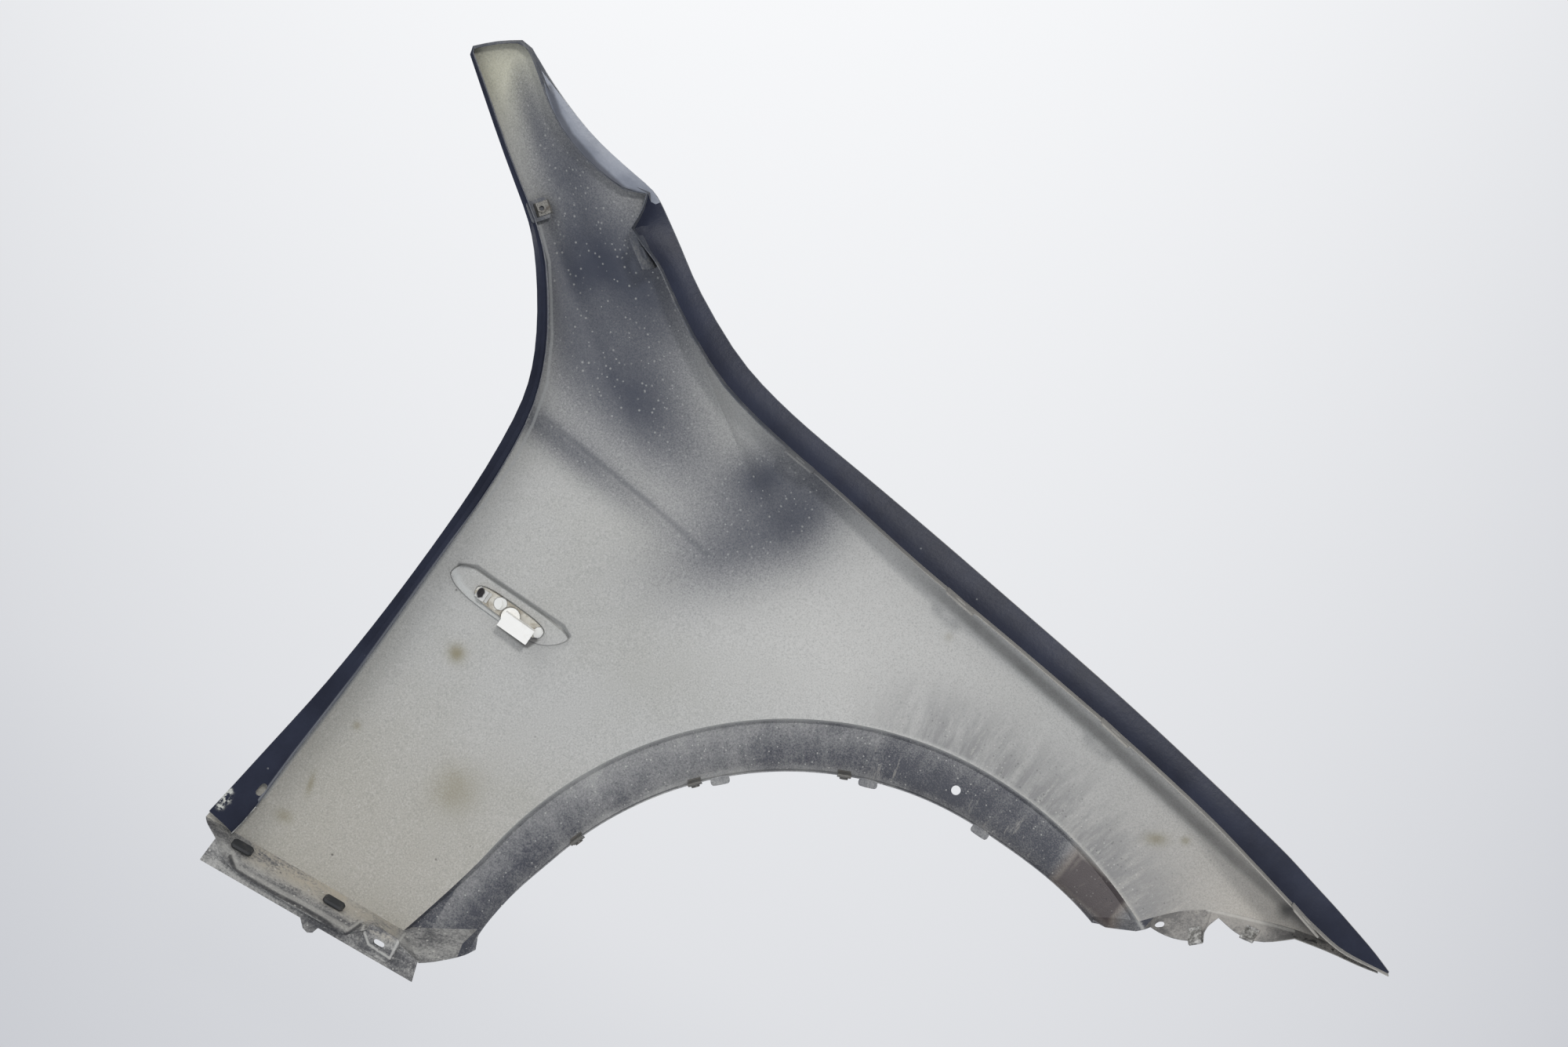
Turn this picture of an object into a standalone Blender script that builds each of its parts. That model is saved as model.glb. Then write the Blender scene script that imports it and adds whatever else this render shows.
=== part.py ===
"""Left front fender of a saloon car, with its side marker lamp and its spring nuts.

The car's own axes are used: +X runs forward to the nose tip, +Y outboard and +Z up, so the inside of
the panel faces -Y. The panel is one pressing: an outer skin between the wheel arch and the outer edge,
with strips folded from its borders. Places are first worked out from the rear end of the windscreen
spur, the foot of the strip under the sill and the widest plane of the skin. A parent empty then moves
everything so that the origin lies under the bolt pad in the middle of the bonnet side.
"""
import bpy
import bmesh
from math import cos, exp, pi, radians, sin
from mathutils import Matrix, Vector
from mathutils.bvhtree import BVHTree

# Driving dimensions of the panel, in metres
FENDER_LENGTH = 1.100
FENDER_HEIGHT = 0.790
SHEET = 0.0010
WELD = 0.00002
OVERRUN = 0.004
COLUMN_PITCH = 0.0450

# Depths, measured inboard from the widest plane of the skin
TIP_SWEEP = 0.190
ARCH_SWEEP = 0.129
SWEEP_START_SHARE = 0.58
SWEEP_POWER = 2.2
ROLL_POWER = 2.2
RAIL_BEND_SHARE = 0.60
BEND_RISE_ANGLES, BEND_FALL_ANGLES = (-68.0, -50.0), (-15.0, 12.0)
FRAME_STEP = 0.3

# Wheel arch: the flare line, the dished band inside it and the lip turned inboard
FLARE_RADIUS_SHARE = 0.340
FLARE_RADIUS = FENDER_LENGTH * FLARE_RADIUS_SHARE
BAND_WIDTH = 0.047
BAND_DISH = 0.005
BAND_SHOULDER = 0.0045
BAND_SHOULDER_SHARE = 0.15
LIP_ROUND = 0.003
LIP_DEPTH = 0.013
ARCH_CENTRE_SHARES = (0.673, 0.068)
FLARE_REAR_ANGLE, FLARE_FRONT_ANGLE = -93.8, 29.0
LIP_REAR_ANGLE, LIP_FRONT_ANGLE = -88.6, 25.3
RUNOUT_ANGLE = -80.0
FLARE_RUNOUT = 0.024

# Folded strips: the return along the door, the wall along the bonnet, and the narrow lip on both
WALL_WIDTH = 0.028
RETURN_DEPTH = 0.014
WALL_LEAN = 0.007
WALL_BEAD = 0.0014
WALL_BEAD_SHARE = 0.58
EDGE_LIP = 0.014
EDGE_LIP_SPLAY_SHARE = 0.22

# Crease pressed along the body side, dying out forward of the door
CREASE_DEPTH = 0.0045
CREASE_START_SHARES = (0.180, 0.652)
CREASE_END_SHARE = 0.400
CREASE_FALL_SHARE = 1.6
CREASE_BELOW = 0.035
CREASE_ABOVE = 0.090
CREASE_FADE_SHARES = (0.25, 0.02)

# Sill: a flange folded inboard and down, with a straight strip that hangs under it
STRIP_DEPTH_SHARE = 0.189
STRIP_SHEET = 0.0010

# Bolt pads on the bonnet-side lip, and their slots
PAD_LENGTH = 0.032
PAD_REACH = 0.024
PAD_SHEET = 0.0016
PAD_CORNER = 0.003
SLOT_WIDTH = 0.0070
SLOT_LENGTH = 0.0125
PAD_SLOT_SHARE = 0.60
PAD_ANGLES = (-17.8, -4.0, 9.0, 23.0, 46.0)
PAD_TILTS = (-18.0, 0.0, 0.0, 0.0, 0.0)
ORIGIN_PAD_ANGLE = 9.0
MOUNT_OFFSET_SHARE = 0.36

# Single holes
BAND_HOLE_RADIUS = 0.0045
BAND_HOLE_ANGLE = -2.8
BAND_HOLE_SHARE = 0.38
FRONT_HOLE_RADIUS = 0.0045
FRONT_HOLE_ANGLE = 32.6
FRONT_HOLE_SHARE = 0.62
DOOR_SLOT_ANGLE = -83.0
DOOR_SLOT_SHARE = 0.82
DOOR_SLOT_LENGTH = 0.013
DOOR_SLOT_WIDTH = 0.0065
SILL_TAB_SHARES = (0.3015, 0.0205)
SILL_TAB_LENGTH = 0.034
SILL_TAB_HEIGHT = 0.025
SILL_TAB_SHEET = 0.0016
SILL_TAB_CORNER = 0.006
SILL_TAB_DEPTH = 0.0383
SILL_SLOT_LENGTH = 0.011
SILL_SLOT_WIDTH = 0.0055

# Outer border, from the sill corner up the door edge, over the spur and down the bonnet edge to the tip.
# Each row: place along the panel (degrees round the arch), x and z as shares of length and height, depth
# inboard as a share of the tip's, then wall width, lip height and return depth as shares of their sizes.
BORDER_SHARES = (
    (-93.8, 0.121, 0.040, 0.08, 0.99, 0.30, 1.00),
    (-91.0, 0.123, 0.052, 0.08, 1.00, 0.35, 1.00),
    (-85.0, 0.129, 0.089, 0.07, 1.03, 0.50, 1.00),
    (-80.0, 0.138, 0.148, 0.06, 0.76, 0.60, 1.00),
    (-76.0, 0.150, 0.223, 0.05, 0.62, 0.70, 1.00),
    (-71.0, 0.163, 0.329, 0.05, 0.44, 0.80, 1.00),
    (-66.0, 0.173, 0.443, 0.05, 0.36, 0.90, 1.00),
    (-61.0, 0.180, 0.555, 0.07, 0.39, 0.90, 1.00),
    (-57.5, 0.180, 0.629, 0.08, 0.39, 0.90, 1.00),
    (-55.0, 0.176, 0.668, 0.09, 0.31, 1.00, 1.00),
    (-52.5, 0.168, 0.703, 0.11, 0.31, 1.00, 1.00),
    (-50.0, 0.154, 0.744, 0.13, 0.29, 1.00, 1.00),
    (-47.5, 0.134, 0.790, 0.16, 0.29, 0.90, 1.00),
    (-45.5, 0.118, 0.819, 0.18, 0.21, 0.50, 0.80),
    (-44.0, 0.104, 0.838, 0.20, 0.16, 0.30, 0.50),
    (-41.5, 0.067, 0.880, 0.24, 0.13, 0.30, 0.40),
    (-39.0, 0.027, 0.930, 0.29, 0.13, 0.30, 0.40),
    (-37.4, 0.004, 0.959, 0.32, 0.10, 0.20, 0.40),
    (-36.6, 0.003, 0.969, 0.33, 0.10, 0.20, 0.40),
    (-35.0, 0.020, 0.987, 0.38, 0.10, 0.20, 0.40),
    (-33.2, 0.039, 1.000, 0.42, 0.10, 0.20, 0.40),
    (-32.4, 0.050, 0.997, 0.44, 0.10, 0.20, 0.40),
    (-31.0, 0.066, 0.983, 0.44, 0.13, 0.20, 0.30),
    (-29.0, 0.094, 0.964, 0.44, 0.55, 0.20, 0.30),
    (-27.0, 0.122, 0.948, 0.43, 0.65, 0.20, 0.30),
    (-25.0, 0.147, 0.939, 0.42, 0.68, 0.20, 0.30),
    (-23.0, 0.174, 0.932, 0.41, 0.57, 0.20, 0.30),
    (-21.5, 0.191, 0.928, 0.40, 0.21, 0.30, 0.30),
    (-20.4, 0.201, 0.920, 0.40, 0.50, 0.50, 0.25),
    (-19.5, 0.210, 0.911, 0.39, 1.10, 0.80, 0.20),
    (-18.0, 0.226, 0.895, 0.38, 0.95, 0.80, 0.20),
    (-16.6, 0.242, 0.878, 0.38, 0.74, 0.70, 0.20),
    (-15.0, 0.261, 0.857, 0.37, 0.78, 0.80, 0.20),
    (-11.0, 0.313, 0.815, 0.34, 0.86, 0.90, 0.20),
    (-6.0, 0.380, 0.787, 0.31, 0.83, 1.00, 0.20),
    (-1.0, 0.450, 0.770, 0.29, 0.89, 1.00, 0.20),
    (5.5, 0.538, 0.748, 0.29, 1.02, 1.00, 0.20),
    (12.0, 0.615, 0.727, 0.31, 0.94, 1.00, 0.20),
    (18.5, 0.692, 0.706, 0.34, 0.91, 1.00, 0.20),
    (25.0, 0.764, 0.684, 0.42, 0.86, 1.00, 0.20),
    (29.0, 0.833, 0.660, 0.52, 0.83, 1.00, 0.20),
    (34.0, 0.865, 0.648, 0.58, 0.86, 1.00, 0.20),
    (39.0, 0.896, 0.636, 0.65, 0.91, 1.00, 0.20),
    (44.0, 0.923, 0.623, 0.72, 0.89, 1.00, 0.20),
    (49.0, 0.946, 0.612, 0.78, 0.83, 0.90, 0.20),
    (54.0, 0.964, 0.602, 0.85, 0.73, 0.70, 0.20),
    (59.0, 0.980, 0.593, 0.92, 0.42, 0.40, 0.20),
    (63.0, 0.994, 0.583, 0.97, 0.08, 0.12, 0.10),
)
# Places inside the spur and neck that the skin's rails bend towards: place along the panel, x and z shares
SPINE_SHARES = (
    (-68.0, 0.277, 0.463),
    (-60.0, 0.258, 0.575),
    (-55.0, 0.231, 0.659),
    (-50.0, 0.198, 0.754),
    (-47.5, 0.177, 0.793),
    (-45.5, 0.161, 0.816),
    (-44.0, 0.133, 0.848),
    (-41.5, 0.111, 0.873),
    (-39.0, 0.072, 0.916),
    (-37.4, 0.053, 0.941),
    (-36.6, 0.049, 0.945),
    (-35.0, 0.048, 0.946),
    (-33.2, 0.050, 0.947),
    (-32.4, 0.054, 0.946),
    (-31.0, 0.063, 0.939),
    (-29.0, 0.082, 0.919),
    (-27.0, 0.105, 0.899),
    (-25.0, 0.129, 0.880),
    (-23.0, 0.152, 0.864),
    (-21.5, 0.167, 0.851),
    (-20.4, 0.176, 0.843),
    (-19.5, 0.185, 0.835),
    (-18.0, 0.196, 0.824),
    (-16.6, 0.210, 0.809),
    (-15.0, 0.227, 0.790),
    (-11.0, 0.276, 0.746),
    (-6.0, 0.342, 0.705),
    (-1.0, 0.404, 0.682),
    (5.5, 0.485, 0.652),
    (12.0, 0.559, 0.628),
)
# Fold along the foot of the nose: place along the panel, x, z and depth shares
NOSE_FOLD_SHARES = (
    (29.0, 0.838, 0.482, 0.23),
    (34.0, 0.859, 0.514, 0.27),
    (39.0, 0.881, 0.537, 0.33),
    (44.0, 0.911, 0.554, 0.42),
    (49.0, 0.937, 0.567, 0.52),
    (54.0, 0.958, 0.574, 0.64),
    (59.0, 0.974, 0.577, 0.79),
    (63.0, 0.987, 0.579, 0.94),
)
# Free edge of the nose flange, with its lobes and the notch between them: same columns
NOSE_FLANGE_SHARES = (
    (29.0, 0.843, 0.478, 0.27),
    (31.0, 0.845, 0.485, 0.31),
    (33.0, 0.850, 0.485, 0.35),
    (35.0, 0.862, 0.487, 0.39),
    (37.0, 0.876, 0.496, 0.41),
    (39.0, 0.8800, 0.502, 0.43),
    (39.6, 0.8815, 0.521, 0.40),
    (41.0, 0.8870, 0.534, 0.37),
    (42.4, 0.8960, 0.531, 0.44),
    (43.0, 0.903, 0.530, 0.48),
    (45.0, 0.915, 0.533, 0.53),
    (47.0, 0.925, 0.543, 0.57),
    (49.0, 0.938, 0.559, 0.59),
    (52.0, 0.951, 0.564, 0.67),
    (55.0, 0.963, 0.568, 0.75),
    (59.0, 0.976, 0.571, 0.87),
    (63.0, 0.988, 0.576, 0.96),
)
# Ends of the arch band, closed by a fold: flare edge, dish, lip root and lip edge as x, z, depth shares
BAND_FOOT_SHARES = ((0.340, 0.022, 0.20), (0.347, 0.031, 0.19), (0.366, 0.052, 0.15), (0.373, 0.066, 0.13))
BAND_FRONT_SHARES = ((0.843, 0.478, 0.27), (0.838, 0.472, 0.27), (0.8149, 0.4582, 0.263),
                     (0.8035, 0.4575, 0.247))
# How far the lip leaves its circle at a car angle, as a share of the band's width
LIP_RUNOUT_SHARES = (
    (-88.6, 0.174),
    (-85.0, 0.153),
    (-78.4, 0.079),
    (-73.0, 0.000),
    (5.0, 0.000),
    (10.0, 0.036),
    (18.0, 0.143),
    (21.3, 0.189),
    (25.3, 0.234),
)
# Free edge of the sill flange: place along the sill from the arch to the door, then x, z and depth shares
SILL_EDGE_SHARES = (
    (0.00, 0.338, 0.024, 0.200),
    (0.03, 0.318, 0.030, 0.200),
    (0.07, 0.303, 0.034, 0.200),
    (0.11, 0.292, 0.034, 0.200),
    (0.16, 0.281, 0.022, 0.235),
    (0.21, 0.272, 0.013, 0.247),
    (0.34, 0.247, 0.011, 0.247),
    (0.58, 0.201, 0.011, 0.247),
    (0.74, 0.168, 0.012, 0.245),
    (0.82, 0.152, 0.019, 0.232),
    (0.90, 0.140, 0.031, 0.190),
    (0.96, 0.129, 0.036, 0.140),
    (1.00, 0.1245, 0.037, 0.110),
)
# Lower edge of the straight strip under the sill flange, with its lobe, as x and z shares
STRIP_EDGE_SHARES = ((0.341, 0.000), (0.251, 0.000), (0.249, -0.008), (0.245, -0.011), (0.240, -0.009),
                     (0.234, 0.000), (0.1375, 0.000))
STRIP_ROW_SHARES = (0.90, 0.82, 0.74, 0.58, 0.34, 0.21, 0.16, 0.11, 0.07, 0.03, 0.0)
SKIN_ROW_SHARES = (0.0, 0.03, 0.07, 0.11, 0.16, 0.21, 0.27, 0.34, 0.42, 0.50, 0.58, 0.66, 0.74, 0.82, 0.90,
                   0.96, 1.0)

# Side marker lamp. Depths are measured inboard from the skin, in the lamp's own frame.
LAMP_LENGTH = 0.126
LAMP_HEIGHT = 0.035
LAMP_DOOR_ANGLE = -66.7
LAMP_DOOR_GAP = 0.0888
POCKET_DEPTH = 0.0050
POCKET_INSET = 0.0018
POCKET_RIM = 0.0002
WINDOW_LENGTH = 0.076
WINDOW_HEIGHT = 0.0172
WINDOW_ROUNDNESS = 3.2
WINDOW_CENTRE = (0.003, -0.002)
WINDOW_TILT = -5.5
WINDOW_FIT = 0.0010
LENS_FIT = 0.0005
LENS_PROUD = 0.0009
LENS_CROWN = 0.0012
LENS_CROWN_INSET = 0.0080
LENS_BACK = 0.0030
LENS_BACK_TAPER_SHARE = 0.90
GASKET_INSET = 0.0028
GASKET_WIDTH = 0.0012
SEAT_GAP = 0.0003
HOUSING_WALL = 0.0012
HOUSING_TOP = 0.0110
BOSS_RADIUS = 0.0064
BOSS_REACH = 0.0016
BOSS_PLACES = ((-0.0150, 0.0), (0.0290, 0.0))
TOWER_RADIUS = 0.0076
TOWER_TOP = 0.0160
HOLDER_PLACE = (0.0040, -0.0018)
HOLDER_RADIUS = 0.0088
HOLDER_COLLAR = 0.0027
HOLDER_BARREL = 0.0058
HOLDER_DEPTH = 0.0032
HOLDER_RUN = 0.0003
CONNECTOR_LENGTH = 0.0320
CONNECTOR_HEIGHT = 0.0148
CONNECTOR_REACH = 0.0120
CONNECTOR_CORNER = (-0.0020, -0.0130)
CONNECTOR_WALL = 0.0015
CONNECTOR_CAVITY = 0.0120
BULB_RADIUS = 0.0040
BULB_TIP = 0.0042
BULB_SHOULDER = 0.0125
BULB_BASE_RADIUS = 0.0031
BULB_BASE_TOP = 0.0190
TERMINAL_WIDTH = 0.0024
TERMINAL_THICK = 0.0008
TERMINAL_LENGTH = 0.0085
TERMINAL_SPREAD = 0.0050
CATCH_PLACE = -0.0285
CATCH_LENGTH = 0.0130
CATCH_WIDTH = 0.0105
CATCH_RISE = 0.0050
CATCH_FOOT_SHARE, CATCH_TOP_SHARE = 0.55, 0.45
# Leaf outline of the lamp, as shares of its length and height
LAMP_OUTLINE_SHARES = ((0.0, 0.60), (0.035, 0.88), (0.12, 1.0), (0.26, 0.98), (0.48, 0.93), (0.70, 0.86),
                       (0.90, 0.74), (0.985, 0.66), (1.0, 0.53), (0.963, 0.34), (0.90, 0.16), (0.80, 0.02),
                       (0.62, 0.02), (0.42, 0.09), (0.22, 0.18), (0.10, 0.30), (0.03, 0.44))

# Spring nuts of folded strip, with a threaded collar, pushed over the free edge of a flange
NUT_SHEET = 0.0008
NUT_WIDTH = 0.0125
NUT_REACH = 0.0120
NUT_FLARE = 0.0016
NUT_BEND_SHARES = (0.30, 0.45)
NUT_HOLE_SHARE = 0.50
NUT_SEAT = 0.0004
NUT_COLLAR_RADIUS = 0.0040
NUT_COLLAR_HEIGHT = 0.0026
NUT_BORE_RADIUS = 0.0023
ARCH_NUT_ANGLES = (-66.6, -45.2, -20.6)
ARCH_NUT_SEAT = 0.0007
ARCH_TAB_ANGLES = (-41.0, -16.6, 3.3)
ARCH_TAB_LENGTH = 0.018
ARCH_TAB_REACH = 0.008
ARCH_TAB_CORNER = 0.0032
NOSE_NUT_SPANS = ((37.0, 39.0), (43.0, 45.0))
NOSE_NUT_SEATS = (0.0016, 0.0004)
SPUR_TAB_ANGLE = -44.2
SPUR_TAB_LENGTH = 0.020
SPUR_TAB_REACH = 0.019
SPUR_TAB_ROOT = 0.003

# Rubber buffers on the sill flange
BUFFER_ROWS = (0.78, 0.32)
BUFFER_LENGTH = 0.021
BUFFER_WIDTH = 0.012
BUFFER_HEIGHT = 0.0045
BUFFER_BEVEL = 0.0015
BUFFER_SHARE = 0.42
BUFFER_SEATS = (0.0015, 0.0008)
BUFFER_ROW_STEP = 0.05

PAINT = (0.030, 0.034, 0.040)
PALE_PLASTIC = (0.78, 0.77, 0.72)
FOAM = (0.05, 0.05, 0.05)
CLEAR = (0.80, 0.82, 0.80)
SPRING_STEEL = (0.42, 0.41, 0.38)
BRASS = (0.62, 0.50, 0.26)


def clear_scene():
    for obj in list(bpy.data.objects):
        bpy.data.objects.remove(obj, do_unlink=True)


def make_material(name, colour, roughness, metallic=0.0, alpha=1.0):
    material = bpy.data.materials.new(name)
    material.use_nodes = True
    shader = material.node_tree.nodes["Principled BSDF"]
    shader.inputs["Base Color"].default_value = (*colour, 1.0)
    shader.inputs["Roughness"].default_value = roughness
    shader.inputs["Metallic"].default_value = metallic
    shader.inputs["Alpha"].default_value = alpha
    return material


def smooth_row(table, along):
    """Reads a table at a place between its rows, with a cubic through each pair of rows."""
    last = len(table) - 2
    i = max(k for k in range(last + 1) if k == 0 or table[k][0] <= along)
    before, low, high, after = table[max(i - 1, 0)], table[i], table[i + 1], table[min(i + 2, last + 1)]
    span = high[0] - low[0]
    u = (along - low[0]) / span
    values = []
    for a, b, c, d in zip(before[1:], low[1:], high[1:], after[1:]):
        slope_low = (c - a) / (high[0] - before[0]) * span
        slope_high = (d - b) / (after[0] - low[0]) * span
        values.append(b * (2 * u**3 - 3 * u**2 + 1) + slope_low * (u**3 - 2 * u**2 + u)
                      + c * (3 * u**2 - 2 * u**3) + slope_high * (u**3 - u**2))
    return values


def straight_row(table, along):
    """Reads a table at a place between its rows, in straight runs."""
    i = max(k for k in range(len(table) - 1) if k == 0 or table[k][0] <= along)
    u = (along - table[i][0]) / (table[i + 1][0] - table[i][0])
    return [low + (high - low) * u for low, high in zip(table[i][1:], table[i + 1][1:])]


def place(x_share, z_share, depth_share=0.0):
    return Vector((x_share * FENDER_LENGTH, -depth_share * TIP_SWEEP, z_share * FENDER_HEIGHT))


def arch_point(angle, radius, outboard=0.0):
    """A point on a circle round the wheel, at the depth that the body side has there."""
    centre = place(*ARCH_CENTRE_SHARES)
    x = centre.x + radius * sin(radians(angle))
    z = centre.z + radius * cos(radians(angle))
    past = max(0.0, x / FENDER_LENGTH - SWEEP_START_SHARE) / (1 - SWEEP_START_SHARE)
    return Vector((x, outboard - ARCH_SWEEP * past**SWEEP_POWER, z))


def flare_radius(angle):
    past = max(0.0, RUNOUT_ANGLE - angle) / (RUNOUT_ANGLE - FLARE_REAR_ANGLE)
    return FLARE_RADIUS + FLARE_RUNOUT * past**1.5


def lip_radius(angle):
    return FLARE_RADIUS - BAND_WIDTH + BAND_WIDTH * smooth_row(LIP_RUNOUT_SHARES, angle)[0]


def inner_border(along):
    if along <= FLARE_FRONT_ANGLE:
        return arch_point(along, flare_radius(along))
    return place(*smooth_row(NOSE_FOLD_SHARES, along))


def outer_border(along):
    return place(*smooth_row(BORDER_SHARES, along)[:3])


def crease_offset(x, z):
    """How far the body side crease stands inboard at a place on the skin."""
    start_x, start_z = CREASE_START_SHARES
    run = max(0.0, x / FENDER_LENGTH - start_x)
    line = (start_z - CREASE_FALL_SHARE * run**2) * FENDER_HEIGHT
    fade = max(0.0, min(1.0, (CREASE_END_SHARE - x / FENDER_LENGTH) / (CREASE_END_SHARE - start_x)))
    width = CREASE_ABOVE if z > line else CREASE_BELOW
    return CREASE_DEPTH * fade * exp(-abs(z - line) / width)


def ramp(value, low, high):
    """A smooth step from nought at low to one at high."""
    share = max(0.0, min(1.0, (value - low) / (high - low)))
    return share * share * (3 - 2 * share)


def skin_point(along, row):
    """A point of the skin, on a rail from its inner border that bends to meet the spur's edge squarely."""
    inner, outer = inner_border(along), outer_border(along)
    bend = ramp(along, *BEND_RISE_ANGLES) * (1 - ramp(along, *BEND_FALL_ANGLES))
    spine = place(*smooth_row(SPINE_SHARES, min(along, SPINE_SHARES[-1][0])))
    middle = inner.lerp(outer, 0.5).lerp(outer.lerp(spine, RAIL_BEND_SHARE), bend)
    point = inner * (1 - row)**2 + middle * (2 * row * (1 - row)) + outer * row**2
    run = row * (1 - row) * (1 + bend) + row**2
    point.y = inner.y + (outer.y - inner.y) * run**ROLL_POWER
    fade_in, fade_out = CREASE_FADE_SHARES
    fade = ramp(run, 0.0, fade_in) * ramp(1 - run, 0.0, fade_out)
    point.y -= crease_offset(point.x, point.z) * fade
    return point


def border_frame(along):
    """The outer border's direction and the way into the panel there, both in side view."""
    low = max(BORDER_SHARES[0][0], along - FRAME_STEP)
    high = min(BORDER_SHARES[-1][0], along + FRAME_STEP)
    run = outer_border(high) - outer_border(low)
    run.y = 0.0
    run.normalize()
    return run, Vector((run.z, 0.0, -run.x))


def wall_points(along):
    """Fold, return, bead, wall foot and lip edge of the folded strip on the outer border."""
    _, _, _, width, lip, depth = smooth_row(BORDER_SHARES, along)
    _, inward = border_frame(along)
    lean = WALL_LEAN * (1 - depth)
    back = Vector((0.0, -1.0, 0.0))
    edge = skin_point(along, 1.0)
    turn = edge + back * RETURN_DEPTH * depth + inward * SHEET * 0.5
    foot = turn + inward * WALL_WIDTH * width + back * lean
    bead = turn.lerp(foot, WALL_BEAD_SHARE) - back * WALL_BEAD
    lip_edge = foot + (back + inward * EDGE_LIP_SPLAY_SHARE) * EDGE_LIP * lip
    return edge, turn, bead, foot, lip_edge


def band_points(along):
    """Flare edge, dish, lip root and lip edge of the arch band."""
    share = (along - FLARE_REAR_ANGLE) / (FLARE_FRONT_ANGLE - FLARE_REAR_ANGLE)
    angle = LIP_REAR_ANGLE + (LIP_FRONT_ANGLE - LIP_REAR_ANGLE) * share
    radius = lip_radius(angle)
    dish_angle = along + (angle - along) * BAND_SHOULDER_SHARE
    return (skin_point(along, 0.0),
            arch_point(dish_angle, flare_radius(along) - BAND_SHOULDER, BAND_DISH),
            arch_point(angle, radius + LIP_ROUND, BAND_DISH),
            arch_point(angle, radius, BAND_DISH - LIP_ROUND),
            arch_point(angle, radius, -LIP_DEPTH))


def sill_points(row):
    """Fold and free edge of the sill flange. The row runs from the arch to the door."""
    return skin_point(BORDER_SHARES[0][0], row), place(*straight_row(SILL_EDGE_SHARES, row))


def skin_columns():
    """Columns of the skin: the rows of the nose flange, and behind them one about every pitch."""
    columns = []
    rows = [row for row in BORDER_SHARES if row[0] < FLARE_FRONT_ANGLE]
    ends = [row[0] for row in rows[1:]] + [FLARE_FRONT_ANGLE]
    for row, end in zip(rows, ends):
        run = (outer_border(end) - outer_border(row[0])).length
        parts = max(1, round(run / COLUMN_PITCH))
        columns += [row[0] + (end - row[0]) * k / parts for k in range(parts)]
    return columns + [row[0] for row in NOSE_FLANGE_SHARES]


def loft(bm, rails):
    """Quads between neighbouring rails of points. Shared borders are merged afterwards."""
    grid = [[bm.verts.new(point) for point in rail] for rail in rails]
    for low, high in zip(grid, grid[1:]):
        for k in range(len(low) - 1):
            bm.faces.new((low[k], low[k + 1], high[k + 1], high[k]))


def panel_surface():
    """The whole pressing as one open surface at mid-thickness."""
    bm = bmesh.new()
    columns = skin_columns()
    loft(bm, [[skin_point(a, row) for row in SKIN_ROW_SHARES] for a in columns])
    loft(bm, [wall_points(a) for a in columns[1:]])
    arch = [a for a in columns if a <= FLARE_FRONT_ANGLE]
    foot = [place(*shares) for shares in BAND_FOOT_SHARES]
    foot[0] = sill_points(0.0)[1]
    front = [place(*shares) for shares in BAND_FRONT_SHARES]
    foot.insert(3, foot[2].lerp(foot[3], 0.5))
    front.insert(3, front[2].lerp(front[3], 0.5))
    loft(bm, [foot] + [band_points(a) for a in arch] + [front])
    nose = [row[0] for row in NOSE_FLANGE_SHARES]
    loft(bm, [[skin_point(a, 0.0) for a in nose], [place(*row[1:]) for row in NOSE_FLANGE_SHARES]])
    loft(bm, [sill_points(row) for row in SKIN_ROW_SHARES])
    bmesh.ops.remove_doubles(bm, verts=bm.verts, dist=WELD)
    bmesh.ops.recalc_face_normals(bm, faces=bm.faces)
    return bm


def new_object(name, bm, collection, material=None):
    mesh = bpy.data.meshes.new(name)
    bm.to_mesh(mesh)
    bm.free()
    obj = bpy.data.objects.new(name, mesh)
    collection.objects.link(obj)
    if material:
        mesh.materials.append(material)
    return obj


def frame_matrix(origin, across, along):
    """A local frame: its x runs along `across`, its y along `along`, and z is square to both."""
    x = across.normalized()
    z = x.cross(along).normalized()
    y = z.cross(x)
    return Matrix.Translation(origin) @ Matrix((x, y, z)).transposed().to_4x4()


def add_box(bm, low, high, matrix=Matrix()):
    size = Vector(high) - Vector(low)
    middle = (Vector(high) + Vector(low)) / 2
    stretch = Matrix.Translation(middle) @ Matrix.Diagonal((*size, 1.0))
    bmesh.ops.create_cube(bm, size=1.0, matrix=matrix @ stretch)


def add_cylinder(bm, radius, low, high, matrix=Matrix(), centre=(0.0, 0.0), sides=20):
    """A cylinder along the frame's z, from low to high."""
    middle = Matrix.Translation((*centre, (low + high) / 2))
    bmesh.ops.create_cone(bm, cap_ends=True, segments=sides, radius1=radius, radius2=radius,
                          depth=high - low, matrix=matrix @ middle)


def add_prism(bm, outline, low, high, matrix=Matrix()):
    """A flat outline in the frame's x and y, given thickness along its z."""
    base = bm.faces.new([bm.verts.new(matrix @ Vector((x, y, low))) for x, y in outline])
    rise = matrix.to_3x3() @ Vector((0.0, 0.0, high - low))
    raised = bmesh.ops.extrude_face_region(bm, geom=[base])
    moved = [item for item in raised["geom"] if isinstance(item, bmesh.types.BMVert)]
    bmesh.ops.translate(bm, vec=rise, verts=moved)
    bmesh.ops.recalc_face_normals(bm, faces=bm.faces)


def slot_outline(length, width, sides=6):
    """A slot's outline: two half rounds joined by straight edges."""
    reach = (length - width) / 2
    ends = [(reach, -pi / 2), (-reach, pi / 2)]
    return [(x + width / 2 * cos(start + pi * k / sides), width / 2 * sin(start + pi * k / sides))
            for x, start in ends for k in range(sides + 1)]


def boolean(obj, tool, operation):
    modifier = obj.modifiers.new(operation.lower(), "BOOLEAN")
    modifier.operation = operation
    modifier.solver = "EXACT"
    modifier.object = tool


def cutter(name, bm, cutters):
    obj = new_object(name, bm, cutters)
    obj.hide_render = True
    obj.display_type = "WIRE"
    return obj


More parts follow.
